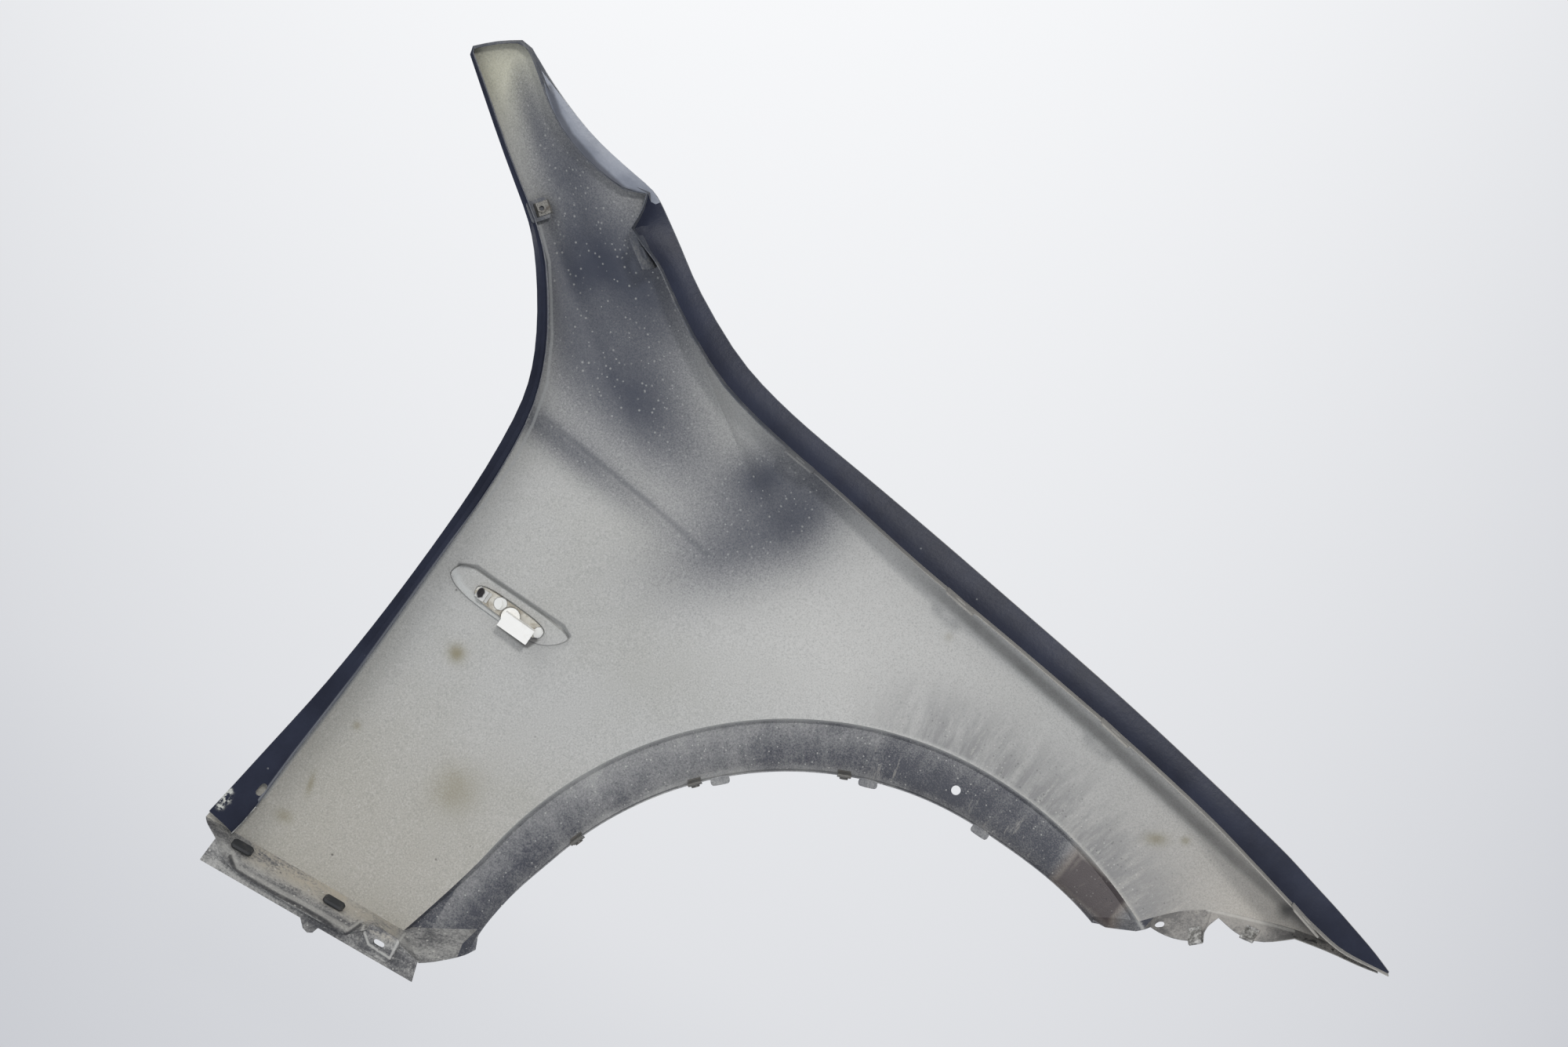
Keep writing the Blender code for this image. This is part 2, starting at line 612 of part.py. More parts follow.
def pad_frame(along):
    """Frame of a bolt pad: x back along the bonnet edge, y inboard along the lip, z up."""
    _, _, _, foot, lip_edge = wall_points(along)
    run, _ = border_frame(along)
    tilt = Matrix.Rotation(radians(PAD_TILTS[PAD_ANGLES.index(along)]), 4, "X")
    return frame_matrix(foot, -run, lip_edge - foot) @ tilt


def rounded_outline(width, height, radius, centre=(0.0, 0.0), sides=3):
    """A rectangle with round corners, as a closed outline."""
    x, y = width / 2 - radius, height / 2 - radius
    corners = ((x, y, 0.0), (-x, y, pi / 2), (-x, -y, pi), (x, -y, 3 * pi / 2))
    return [(centre[0] + cx + radius * cos(start + pi / 2 * k / sides),
             centre[1] + cy + radius * sin(start + pi / 2 * k / sides))
            for cx, cy, start in corners for k in range(sides + 1)]


def lamp_frame(skin_tree):
    """The lamp's frame: z inboard, square to the skin, x forward and y up."""
    start = outer_border(LAMP_DOOR_ANGLE) + Vector((LAMP_DOOR_GAP, -TIP_SWEEP, 0.0))
    point, normal, _, _ = skin_tree.ray_cast(start, Vector((0.0, 1.0, 0.0)))
    if normal.y > 0:
        normal = -normal
    up = normal.cross(Vector((1.0, 0.0, 0.0)))
    return frame_matrix(point, up.cross(normal), up)


def smooth_outline(points, parts=2):
    """A closed outline with more points on a smooth curve through the given ones."""
    count = len(points)
    smooth = []
    for i in range(count):
        a, b, c, d = (Vector(points[(i + k) % count]) for k in (-1, 0, 1, 2))
        for k in range(parts):
            u = k / parts
            smooth.append(0.5 * (2 * b + (c - a) * u + (2 * a - 5 * b + 4 * c - d) * u**2
                                 + (3 * b - a - 3 * c + d) * u**3))
    return smooth


def lamp_outline():
    points = [((x - 0.5) * LAMP_LENGTH, (z - 0.5) * LAMP_HEIGHT) for x, z in LAMP_OUTLINE_SHARES]
    return smooth_outline(points)


def inset_outline(outline, distance):
    """The outline moved inwards by a distance, each point along its own normal."""
    count = len(outline)
    moved = []
    for i in range(count):
        run = (outline[(i + 1) % count] - outline[i - 1]).normalized()
        moved.append(outline[i] + Vector((run.y, -run.x)) * distance)
    return moved


def window_outline(inset=0.0, count=34):
    """The lamp window's rounded outline, in the lamp's frame."""
    turn = Matrix.Rotation(radians(WINDOW_TILT), 2)
    half_x, half_y = WINDOW_LENGTH / 2 - inset, WINDOW_HEIGHT / 2 - inset
    points = []
    for k in range(count):
        angle = pi - 2 * pi * k / count
        x, y = cos(angle), sin(angle)
        size = (abs(x)**WINDOW_ROUNDNESS + abs(y)**WINDOW_ROUNDNESS)**(-1 / WINDOW_ROUNDNESS)
        points.append(Vector(WINDOW_CENTRE) + turn @ Vector((x * size * half_x, y * size * half_y)))
    return points


def window_frame(lamp):
    """The lamp's frame moved to the window and turned with it."""
    return lamp @ Matrix.Translation((*WINDOW_CENTRE, 0.0)) @ Matrix.Rotation(radians(WINDOW_TILT), 4, "Z")


def add_rings(bm, rings, matrix, closed=False):
    """Quads between rings of equal count. Open stacks get a cap at each end."""
    grid = [[bm.verts.new(matrix @ Vector(point)) for point in ring] for ring in rings]
    pairs = list(zip(grid, grid[1:])) + ([(grid[-1], grid[0])] if closed else [])
    for low, high in pairs:
        for k in range(len(low)):
            j = (k + 1) % len(low)
            bm.faces.new((low[k], low[j], high[j], high[k]))
    if not closed:
        bm.faces.new(grid[0])
        bm.faces.new(grid[-1])
    bmesh.ops.recalc_face_normals(bm, faces=bm.faces)


def at_depth(outline, depth):
    return [(point.x, point.y, depth) for point in outline]


def rim_depths(outline, lamp, skin_tree):
    """Depth of the skin under each outline point, in the lamp's frame."""
    inboard = lamp.to_3x3() @ Vector((0.0, 0.0, 1.0))
    back = lamp.inverted()
    reach = TIP_SWEEP / 4
    return [(back @ skin_tree.ray_cast(lamp @ Vector((*p, reach)), -inboard)[0]).z for p in outline]


def pocket_mesh(lamp, skin_tree):
    """The pressed pocket: a drafted wall from the skin to a floor with a window."""
    outline = lamp_outline()
    half = SHEET / 2
    depths = rim_depths(outline, lamp, skin_tree)
    rim = half + POCKET_RIM
    outer = [(p.x, p.y, z - rim) for p, z in zip(inset_outline(outline, -half), depths)]
    inner = [(p.x, p.y, z - rim) for p, z in zip(inset_outline(outline, half), depths)]
    window = window_outline(count=len(outline))
    rings = [outer, at_depth(inset_outline(outline, POCKET_INSET - half), POCKET_DEPTH + half),
             at_depth(window, POCKET_DEPTH + half), at_depth(window, POCKET_DEPTH - half),
             at_depth(inset_outline(outline, POCKET_INSET + half), POCKET_DEPTH - half), inner]
    bm = bmesh.new()
    add_rings(bm, rings, lamp, closed=True)
    bmesh.ops.triangulate(bm, faces=bm.faces)
    return bm


def panel_additions(bm):
    """Bolt pads on the bonnet lip, the sill's strip and slotted tab, and tabs on the spur and arch lip."""
    for along in PAD_ANGLES:
        outline = rounded_outline(PAD_LENGTH, PAD_REACH - SHEET, PAD_CORNER, (0.0, (PAD_REACH + SHEET) / 2))
        add_prism(bm, outline, -PAD_SHEET / 2, PAD_SHEET / 2, pad_frame(along))
    outline = rounded_outline(SILL_TAB_LENGTH, SILL_TAB_HEIGHT, SILL_TAB_CORNER)
    add_prism(bm, outline, -SILL_TAB_SHEET / 2, SILL_TAB_SHEET / 2, sill_tab_frame())
    strip_frame = side_frame(STRIP_DEPTH_SHARE * TIP_SWEEP)
    add_prism(bm, strip_outline(), -STRIP_SHEET / 2, STRIP_SHEET / 2, strip_frame)
    middle = (0.0, ARCH_TAB_REACH / 2 - SHEET)
    outline = rounded_outline(ARCH_TAB_LENGTH, ARCH_TAB_REACH, ARCH_TAB_CORNER, middle)
    outboard = Matrix.Translation((0.0, 0.0, -SHEET))
    for along in ARCH_TAB_ANGLES:
        add_prism(bm, outline, -SHEET / 2, SHEET / 2, lip_frame(along) @ outboard)
    outline = rounded_outline(SPUR_TAB_LENGTH, SPUR_TAB_REACH, PAD_CORNER,
                              (0.0, SPUR_TAB_REACH / 2 - SPUR_TAB_ROOT))
    add_prism(bm, outline, -SHEET / 2, SHEET / 2, spur_tab_frame())


def lip_frame(angle):
    """A frame on the arch lip's free edge: x along it, y towards the wheel, z inboard."""
    edge = arch_point(angle, lip_radius(angle), -LIP_DEPTH)
    ahead = arch_point(angle + FRAME_STEP, lip_radius(angle), -LIP_DEPTH) - edge
    towards = place(*ARCH_CENTRE_SHARES) - edge
    towards.y = 0.0
    return frame_matrix(edge, -ahead, towards)


def side_frame(depth):
    """A frame in side view at a depth inboard: x forward, y up, z inboard."""
    return frame_matrix(Vector((0.0, -depth, 0.0)), Vector((1.0, 0.0, 0.0)), Vector((0.0, 0.0, 1.0)))


def strip_outline():
    """The strip's outline: its lower edge, then back along the underside of the flange above it."""
    lower = [place(*shares) for shares in STRIP_EDGE_SHARES]
    upper = []
    for row in STRIP_ROW_SHARES:
        fold, edge = sill_points(row)
        reach = (STRIP_DEPTH_SHARE * TIP_SWEEP + fold.y) / (fold.y - edge.y)
        upper.append(fold.lerp(edge, min(1.0, reach)))
    return [(point.x, point.z) for point in lower + upper]


def sill_tab_frame():
    """The slotted tab hangs square to the car's side from the front of the sill flange."""
    return side_frame(SILL_TAB_DEPTH) @ Matrix.Translation(place(*SILL_TAB_SHARES).xzy)


def spur_tab_frame():
    """Frame of the tab on the spur's return: x along the edge, y into the panel, z outboard."""
    foot = wall_points(SPUR_TAB_ANGLE)[3]
    run, inward = border_frame(SPUR_TAB_ANGLE)
    return frame_matrix(foot, run, inward)


def nose_flange_frame(along):
    """A frame square to the nose flange at its front hole: x along the flange, y to its free edge."""
    fold, free = skin_point(along, 0.0), place(*straight_row(NOSE_FLANGE_SHARES, along))
    ahead = place(*straight_row(NOSE_FLANGE_SHARES, along + FRAME_STEP)) - free
    return frame_matrix(fold.lerp(free, FRONT_HOLE_SHARE), ahead, free - fold)


def panel_holes(bm):
    """Slots in the pads and tabs, and the single holes."""
    slot = slot_outline(SLOT_LENGTH, SLOT_WIDTH)
    for along in PAD_ANGLES:
        middle = Matrix.Translation((0.0, PAD_REACH * PAD_SLOT_SHARE, 0.0))
        add_prism(bm, slot, -OVERRUN, OVERRUN, pad_frame(along) @ middle)
    slot = slot_outline(SILL_SLOT_LENGTH, SILL_SLOT_WIDTH)
    add_prism(bm, slot, -OVERRUN, OVERRUN, sill_tab_frame())
    _, turn, _, foot, _ = wall_points(DOOR_SLOT_ANGLE)
    run, inward = border_frame(DOOR_SLOT_ANGLE)
    slot = slot_outline(DOOR_SLOT_LENGTH, DOOR_SLOT_WIDTH)
    add_prism(bm, slot, -OVERRUN, OVERRUN, frame_matrix(turn.lerp(foot, DOOR_SLOT_SHARE), run, inward))
    through = Matrix.Rotation(pi / 2, 4, "X")
    hole = arch_point(BAND_HOLE_ANGLE, FLARE_RADIUS - BAND_WIDTH * (1 - BAND_HOLE_SHARE), BAND_DISH)
    add_cylinder(bm, BAND_HOLE_RADIUS, -OVERRUN, OVERRUN, Matrix.Translation(hole) @ through)
    add_cylinder(bm, FRONT_HOLE_RADIUS, -OVERRUN, OVERRUN, nose_flange_frame(FRONT_HOLE_ANGLE))


def build_panel(parts, cutters, material, lamp, skin_tree, surface):
    panel = new_object("fender_panel", surface, parts, material)
    skin = panel.modifiers.new("sheet", "SOLIDIFY")
    skin.thickness = SHEET
    skin.offset = 0.0
    skin.use_even_offset = True
    panel.modifiers.new("flat_faces", "TRIANGULATE")
    bm = bmesh.new()
    mouth = [(p.x, p.y) for p in lamp_outline()]
    add_prism(bm, mouth, -OVERRUN, OVERRUN, lamp)
    boolean(panel, cutter("pocket_mouth", bm, cutters), "DIFFERENCE")
    boolean(panel, cutter("pocket", pocket_mesh(lamp, skin_tree), cutters), "UNION")
    bm = bmesh.new()
    panel_additions(bm)
    boolean(panel, cutter("pads_and_tabs", bm, cutters), "UNION")
    bm = bmesh.new()
    panel_holes(bm)
    boolean(panel, cutter("holes", bm, cutters), "DIFFERENCE")


def build_lens(parts, material, lamp, skin_tree):
    outline = lamp_outline()
    edge = inset_outline(outline, SHEET / 2 + LENS_FIT)
    crown = inset_outline(outline, LENS_CROWN_INSET)
    depths = rim_depths(outline, lamp, skin_tree)
    face = [(p.x, p.y, z - LENS_PROUD) for p, z in zip(edge, depths)]
    raised = [(p.x, p.y, z - LENS_PROUD - LENS_CROWN) for p, z in zip(crown, depths)]
    slope = POCKET_INSET * LENS_BACK_TAPER_SHARE
    back = at_depth(inset_outline(outline, SHEET / 2 + LENS_FIT + slope), LENS_BACK)
    bm = bmesh.new()
    add_rings(bm, [raised, face, back], lamp)
    new_object("lamp_lens", bm, parts, material)


def build_gasket(parts, material, lamp):
    outline = lamp_outline()
    outer = inset_outline(outline, GASKET_INSET)
    inner = inset_outline(outline, GASKET_INSET + GASKET_WIDTH)
    low, high = LENS_BACK + SEAT_GAP, POCKET_DEPTH - SHEET / 2 - SEAT_GAP
    bm = bmesh.new()
    add_rings(bm, [at_depth(outer, low), at_depth(outer, high), at_depth(inner, high), at_depth(inner, low)],
              lamp, closed=True)
    new_object("lamp_gasket", bm, parts, material)


def build_housing(parts, cutters, material, lamp):
    """The lamp's body: a cup open to the lens, with two bosses and a tower for the bulb holder."""
    front = LENS_BACK + SEAT_GAP
    outer, inner = window_outline(WINDOW_FIT), window_outline(WINDOW_FIT + HOUSING_WALL)
    bm = bmesh.new()
    add_rings(bm, [at_depth(outer, HOUSING_TOP), at_depth(outer, front), at_depth(inner, front),
                   at_depth(inner, HOUSING_TOP - HOUSING_WALL)], lamp)
    housing = new_object("lamp_housing", bm, parts, material)
    frame = window_frame(lamp)
    bm = bmesh.new()
    for x, y in BOSS_PLACES:
        add_cylinder(bm, BOSS_RADIUS, HOUSING_TOP - HOUSING_WALL / 2, HOUSING_TOP + BOSS_REACH, frame, (x, y))
    add_cylinder(bm, TOWER_RADIUS, HOUSING_TOP - HOUSING_WALL / 2, TOWER_TOP, frame, HOLDER_PLACE)
    boolean(housing, cutter("housing_bosses", bm, cutters), "UNION")
    bm = bmesh.new()
    add_cylinder(bm, HOLDER_BARREL + HOLDER_RUN, HOUSING_TOP - HOUSING_WALL * 1.5, TOWER_TOP + OVERRUN,
                 frame, HOLDER_PLACE)
    boolean(housing, cutter("tower_bore", bm, cutters), "DIFFERENCE")


def build_holder(parts, cutters, material, brass, lamp):
    """Bulb holder: a barrel in the tower, a collar on it and the connector's shroud, with its terminals."""
    frame = window_frame(lamp)
    seat = TOWER_TOP + SEAT_GAP
    top = seat + HOLDER_COLLAR
    bm = bmesh.new()
    add_cylinder(bm, HOLDER_RADIUS, seat, top, frame, HOLDER_PLACE)
    holder = new_object("bulb_holder", bm, parts, material)
    bm = bmesh.new()
    add_cylinder(bm, HOLDER_BARREL, seat - HOLDER_DEPTH, seat + HOLDER_COLLAR / 2, frame, HOLDER_PLACE)
    boolean(holder, cutter("holder_barrel", bm, cutters), "UNION")
    x, y = CONNECTOR_CORNER
    base = top - HOLDER_COLLAR / 4
    bm = bmesh.new()
    add_box(bm, (x, y, base), (x + CONNECTOR_LENGTH, y + CONNECTOR_HEIGHT, top + CONNECTOR_REACH), frame)
    boolean(holder, cutter("connector_shroud", bm, cutters), "UNION")
    wall, end = CONNECTOR_WALL, x + CONNECTOR_LENGTH
    bm = bmesh.new()
    add_box(bm, (end - CONNECTOR_CAVITY, y + wall, base + wall),
            (end + OVERRUN, y + CONNECTOR_HEIGHT - wall, top + CONNECTOR_REACH - wall), frame)
    boolean(holder, cutter("connector_socket", bm, cutters), "DIFFERENCE")
    bm = bmesh.new()
    add_cylinder(bm, BULB_BASE_RADIUS + HOLDER_RUN, seat - HOLDER_DEPTH - OVERRUN, BULB_BASE_TOP + SEAT_GAP,
                 frame, HOLDER_PLACE)
    boolean(holder, cutter("bulb_bore", bm, cutters), "DIFFERENCE")
    middle_y = y + CONNECTOR_HEIGHT / 2
    middle_z = base + (top + CONNECTOR_REACH - base) / 2
    start = end - CONNECTOR_CAVITY + SEAT_GAP
    for side, name in ((-1, "terminal_live"), (1, "terminal_earth")):
        bm = bmesh.new()
        z = middle_z + side * TERMINAL_SPREAD / 2
        add_box(bm, (start, middle_y - TERMINAL_WIDTH / 2, z - TERMINAL_THICK / 2),
                (start + TERMINAL_LENGTH, middle_y + TERMINAL_WIDTH / 2, z + TERMINAL_THICK / 2), frame)
        new_object(name, bm, parts, brass)


def build_bulb(parts, material, lamp):
    """A small capless bulb: a round-ended glass with a narrower base."""
    frame = window_frame(lamp) @ Matrix.Translation((*HOLDER_PLACE, 0.0))
    shoulder = BULB_SHOULDER - BULB_RADIUS / 4
    round_end = BULB_TIP + BULB_RADIUS
    profile = [(BULB_BASE_RADIUS, BULB_BASE_TOP), (BULB_BASE_RADIUS, BULB_SHOULDER), (BULB_RADIUS, shoulder)]
    profile += [(BULB_RADIUS * cos(pi / 2 * k / 4), round_end - BULB_RADIUS * sin(pi / 2 * k / 4))
                for k in range(4)]
    sides = 16
    rings = [[(r * cos(2 * pi * k / sides), r * sin(2 * pi * k / sides), z) for k in range(sides)]
             for r, z in profile]
    bm = bmesh.new()
    add_rings(bm, rings, frame)
    new_object("lamp_bulb", bm, parts, material)


def folded_strip(name, profile, width, sheet, matrix, parts, material):
    """A strip folded along a profile of y and z, as an open surface given its thickness."""
    bm = bmesh.new()
    rails = [[matrix @ Vector((x, y, z)) for y, z in profile] for x in (-width / 2, width / 2)]
    loft(bm, rails)
    strip = new_object(name, bm, parts, material)
    skin = strip.modifiers.new("sheet", "SOLIDIFY")
    skin.thickness = sheet
    skin.offset = 0.0
    skin.use_even_offset = True
    return strip


def build_catch(parts, material, lamp):
    """Spring catch on the end of the lamp housing: a bridge with its feet turned out."""
    seat = HOUSING_TOP + SEAT_GAP + NUT_SHEET / 2
    half = CATCH_LENGTH / 2
    top = seat + CATCH_RISE
    foot, crown = half * CATCH_FOOT_SHARE, half * CATCH_TOP_SHARE
    profile = [(-half, seat), (-foot, seat), (-crown, top), (crown, top), (foot, seat), (half, seat)]
    frame = window_frame(lamp) @ Matrix.Translation((CATCH_PLACE, 0.0, 0.0)) @ Matrix.Rotation(pi / 2, 4, "Z")
    folded_strip("lamp_catch", profile, CATCH_WIDTH, NUT_SHEET, frame, parts, material)


def build_nut(name, matrix, parts, cutters, material, seat=NUT_SEAT):
    """A spring nut over a flange's free edge: x along the edge, y into the flange, z square to it."""
    gap = SHEET / 2 + seat + NUT_SHEET / 2
    bend = gap + NUT_SHEET / 2
    corner, turn = bend * NUT_BEND_SHARES[0], gap * NUT_BEND_SHARES[1]
    mouth = NUT_REACH - NUT_FLARE
    profile = [(NUT_REACH, gap + NUT_FLARE), (mouth, gap), (-corner, gap), (-bend, turn),
               (-bend, -turn), (-corner, -gap), (mouth, -gap), (NUT_REACH, -gap - NUT_FLARE)]
    nut = folded_strip(name, profile, NUT_WIDTH, NUT_SHEET, matrix, parts, material)
    middle = (0.0, NUT_REACH * NUT_HOLE_SHARE)
    bm = bmesh.new()
    add_cylinder(bm, NUT_COLLAR_RADIUS, gap, gap + NUT_COLLAR_HEIGHT, matrix, middle, sides=12)
    boolean(nut, cutter(name + "_collar", bm, cutters), "UNION")
    bm = bmesh.new()
    top = gap + NUT_COLLAR_HEIGHT + OVERRUN
    add_cylinder(bm, NUT_BORE_RADIUS, gap - NUT_SHEET, top, matrix, middle, sides=12)
    boolean(nut, cutter(name + "_bore", bm, cutters), "DIFFERENCE")


def edge_frame(edge_low, edge_high, root_low, root_high, flip=1):
    """Frame on the middle of a free edge, from the facet's two edge and two root points."""
    middle = (edge_low + edge_high) / 2
    into = (root_low + root_high) / 2 - middle
    return frame_matrix(middle, (edge_high - edge_low) * flip, into)


def build_nuts(parts, cutters, material):
    for number, angle in enumerate(ARCH_NUT_ANGLES, 1):
        frame = lip_frame(angle) @ Matrix.Rotation(-pi / 2, 4, "X")
        build_nut(f"arch_nut_{number}", frame, parts, cutters, material, ARCH_NUT_SEAT)
    table = {row[0]: place(*row[1:]) for row in NOSE_FLANGE_SHARES}
    for number, ((low, high), seat) in enumerate(zip(NOSE_NUT_SPANS, NOSE_NUT_SEATS), 1):
        frame = edge_frame(table[low], table[high], skin_point(low, 0.0), skin_point(high, 0.0), -1)
        build_nut(f"nose_nut_{number}", frame, parts, cutters, material, seat)
    tip = SPUR_TAB_REACH - SPUR_TAB_ROOT
    frame = spur_tab_frame() @ Matrix.Translation((0.0, tip, 0.0)) @ Matrix.Rotation(pi, 4, "X")
    build_nut("spur_nut", frame, parts, cutters, material)


def build_buffers(parts, material):
    """Rubber buffers that sit on the sill flange, close to the fold."""
    for number, (row, seat_gap) in enumerate(zip(BUFFER_ROWS, BUFFER_SEATS), 1):
        fold, edge = sill_points(row)
        ahead = sill_points(row - BUFFER_ROW_STEP)[0] - fold
        seat = fold.lerp(edge, BUFFER_SHARE)
        frame = frame_matrix(seat, -ahead, edge - fold)
        low = SHEET / 2 + seat_gap
        outline = rounded_outline(BUFFER_LENGTH, BUFFER_WIDTH, BUFFER_BEVEL * 2, sides=2)
        bm = bmesh.new()
        add_prism(bm, outline, low, low + BUFFER_HEIGHT, frame)
        buffer = new_object(f"sill_buffer_{number}", bm, parts, material)
        rounding = buffer.modifiers.new("rounding", "BEVEL")
        rounding.width = BUFFER_BEVEL
        rounding.segments = 1
        rounding.limit_method = "ANGLE"


def origin_place():
    """The point under the chosen bolt pad, beside its slot, that becomes the part's origin."""
    offset = Vector((PAD_LENGTH * MOUNT_OFFSET_SHARE, PAD_REACH * PAD_SLOT_SHARE, -PAD_SHEET / 2))
    return pad_frame(ORIGIN_PAD_ANGLE) @ offset


def main():
    clear_scene()
    parts = bpy.data.collections.new("car_fender")
    cutters = bpy.data.collections.new("cutters")
    for collection in (parts, cutters):
        bpy.context.scene.collection.children.link(collection)
    paint = make_material("panel_paint", PAINT, 0.30)
    pale = make_material("pale_plastic", PALE_PLASTIC, 0.45)
    clear = make_material("clear_lens", CLEAR, 0.10, alpha=0.6)
    glass = make_material("bulb_glass", CLEAR, 0.05, alpha=0.35)
    foam = make_material("foam", FOAM, 0.90)
    rubber = make_material("rubber", FOAM, 0.80)
    spring = make_material("spring_steel", SPRING_STEEL, 0.45, 0.9)
    brass = make_material("brass", BRASS, 0.35, 1.0)
    surface = panel_surface()
    skin_tree = BVHTree.FromBMesh(surface)
    lamp = lamp_frame(skin_tree)
    build_panel(parts, cutters, paint, lamp, skin_tree, surface)
    build_lens(parts, clear, lamp, skin_tree)
    build_gasket(parts, foam, lamp)
    build_housing(parts, cutters, pale, lamp)
    build_holder(parts, cutters, pale, brass, lamp)
    build_bulb(parts, glass, lamp)
    build_catch(parts, spring, lamp)
    build_nuts(parts, cutters, spring)
    build_buffers(parts, rubber)
    frame = bpy.data.objects.new("car_frame", None)
    parts.objects.link(frame)
    frame.location = -origin_place()
    for collection in (parts, cutters):
        for obj in collection.objects:
            if obj is not frame:
                obj.parent = frame


main()
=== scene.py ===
# %% [markdown]
# A used left front fender, seen from its inner side
#
# The real object is one steel pressing, painted blue-black outside and left in pale primer inside, where
# the spray gun has drifted over the edges. It carries a side marker lamp, spring nuts and rubber buffers.
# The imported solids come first. They keep their places, and this lesson gives them their looks.

# %% Load the solids and keep their box
import bpy
import bmesh
from math import cos, radians, sin
from mathutils import Matrix, Vector
from mathutils.bvhtree import BVHTree


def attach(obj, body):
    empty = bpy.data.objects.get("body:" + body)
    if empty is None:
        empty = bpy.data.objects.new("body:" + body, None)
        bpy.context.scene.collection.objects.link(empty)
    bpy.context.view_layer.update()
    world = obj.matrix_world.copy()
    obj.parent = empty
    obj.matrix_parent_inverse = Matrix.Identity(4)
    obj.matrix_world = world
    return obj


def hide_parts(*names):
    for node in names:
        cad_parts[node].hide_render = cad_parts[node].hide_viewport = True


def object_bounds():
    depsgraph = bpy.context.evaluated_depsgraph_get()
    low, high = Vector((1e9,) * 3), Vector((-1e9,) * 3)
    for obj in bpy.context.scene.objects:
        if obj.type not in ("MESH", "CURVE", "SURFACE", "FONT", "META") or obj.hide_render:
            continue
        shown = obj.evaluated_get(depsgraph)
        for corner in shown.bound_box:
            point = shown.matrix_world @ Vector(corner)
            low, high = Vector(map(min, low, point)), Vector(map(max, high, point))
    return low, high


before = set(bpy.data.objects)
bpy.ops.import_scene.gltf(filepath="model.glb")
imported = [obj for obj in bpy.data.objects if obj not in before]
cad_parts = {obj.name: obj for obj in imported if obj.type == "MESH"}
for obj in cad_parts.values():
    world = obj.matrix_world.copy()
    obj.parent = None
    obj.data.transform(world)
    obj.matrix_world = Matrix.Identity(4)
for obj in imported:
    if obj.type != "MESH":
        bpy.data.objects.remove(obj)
solid_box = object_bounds()
print("solids:", len(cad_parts))

# %% [markdown]
# The camera stands square to the fender's inner side, about two metres away. In the picture the fender is
# turned by 30 degrees from the way it stands on the car, so the camera is rolled instead of the fender.

# %% Camera
ROLL = radians(30)
DISTANCE = 2.028
PIXEL = 0.00073
PICTURE = (2000, 1335)
FOCAL_LENGTH, SENSOR_WIDTH = 50.0, 36.0
eye = Vector((-0.16018, -1.94891, -0.01952))
right = Vector((cos(ROLL), 0.0, sin(ROLL)))
up = Vector((-sin(ROLL), 0.0, cos(ROLL)))
forward = Vector((0.0, 1.0, 0.0))

camera_data = bpy.data.cameras.new("camera")
camera_data.lens = FOCAL_LENGTH
camera_data.sensor_width = SENSOR_WIDTH
camera = bpy.data.objects.new("camera", camera_data)
bpy.context.scene.collection.objects.link(camera)
axes = Matrix((right, up, -forward)).transposed()
camera.matrix_world = Matrix.Translation(eye) @ axes.to_4x4()
bpy.context.scene.camera = camera
print("camera at", tuple(round(v, 3) for v in eye))

# %% [markdown]
# Many marks on the panel are best placed where the picture shows them. A line of sight is sent through the
# picture point, and the place where it meets the solid panel is kept, so a mark never floats.

# %% Places on the panel
panel_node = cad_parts["fender_panel"]
panel_faces = BVHTree.FromPolygons([v.co for v in panel_node.data.vertices],
                                   [tuple(p.vertices) for p in panel_node.data.polygons])


def sight(across, down):
    """Direction of the line of sight through a picture point."""
    step = right * (across - PICTURE[0] / 2) - up * (down - PICTURE[1] / 2)
    return (forward * DISTANCE + step * PIXEL).normalized()


def seen(across, down):
    """The place on the panel behind a picture point."""
    place = panel_faces.ray_cast(eye, sight(across, down))[0]
    if place is None:
        place = eye + sight(across, down) * DISTANCE
    return place


def in_picture(place):
    """The picture point at which a place shows."""
    step = place - eye
    scale = DISTANCE / step.dot(forward) / PIXEL
    return PICTURE[0] / 2 + step.dot(right) * scale, PICTURE[1] / 2 - step.dot(up) * scale


print("lamp seen at", [round(v, 3) for v in seen(650, 880)])

# %% [markdown]
# The studio is a pale floor under a pale world, with two lamps: a small one in front and a little above,
# and a broad, weaker one that fills from the left.

# %% Floor and lamps
def linear(*levels):
    """Turns 0 to 255 levels, as an eye reads them in a picture, into the linear colour a shader takes."""
    shares = [level / 255 for level in levels]
    return [share / 12.92 if share <= 0.04045 else ((share + 0.055) / 1.055)**2.4 for share in shares] + [1.0]


FLOOR_DROP = 0.25
FLOOR_RADIUS = 9.0
MIDDLE = Vector((0.0, 0.0, 0.0))

bm = bmesh.new()
bmesh.ops.create_circle(bm, cap_ends=True, radius=FLOOR_RADIUS, segments=96)
bmesh.ops.translate(bm, verts=bm.verts, vec=(0.0, 0.0, solid_box[0][2] - FLOOR_DROP))
floor_mesh = bpy.data.meshes.new("floor")
bm.to_mesh(floor_mesh)
floor = bpy.data.objects.new("floor", floor_mesh)
bpy.context.scene.collection.objects.link(floor)


def soft_lamp(name, place, size, power):
    """A round lamp that looks at the fender."""
    data = bpy.data.lights.new(name, "AREA")
    data.shape = "DISK"
    data.size = size
    data.energy = power
    lamp = bpy.data.objects.new(name, data)
    lamp.location = place
    lamp.rotation_euler = (MIDDLE - Vector(place)).to_track_quat("-Z", "Y").to_euler()
    bpy.context.scene.collection.objects.link(lamp)


soft_lamp("key", place=(0.0, -3.6, 1.15), size=0.45, power=43.5)
soft_lamp("fill", place=(-2.6, -2.4, 1.2), size=2.4, power=26.0)

bpy.context.scene.view_settings.view_transform = "Standard"
print("floor at", round(solid_box[0][2] - FLOOR_DROP, 3))

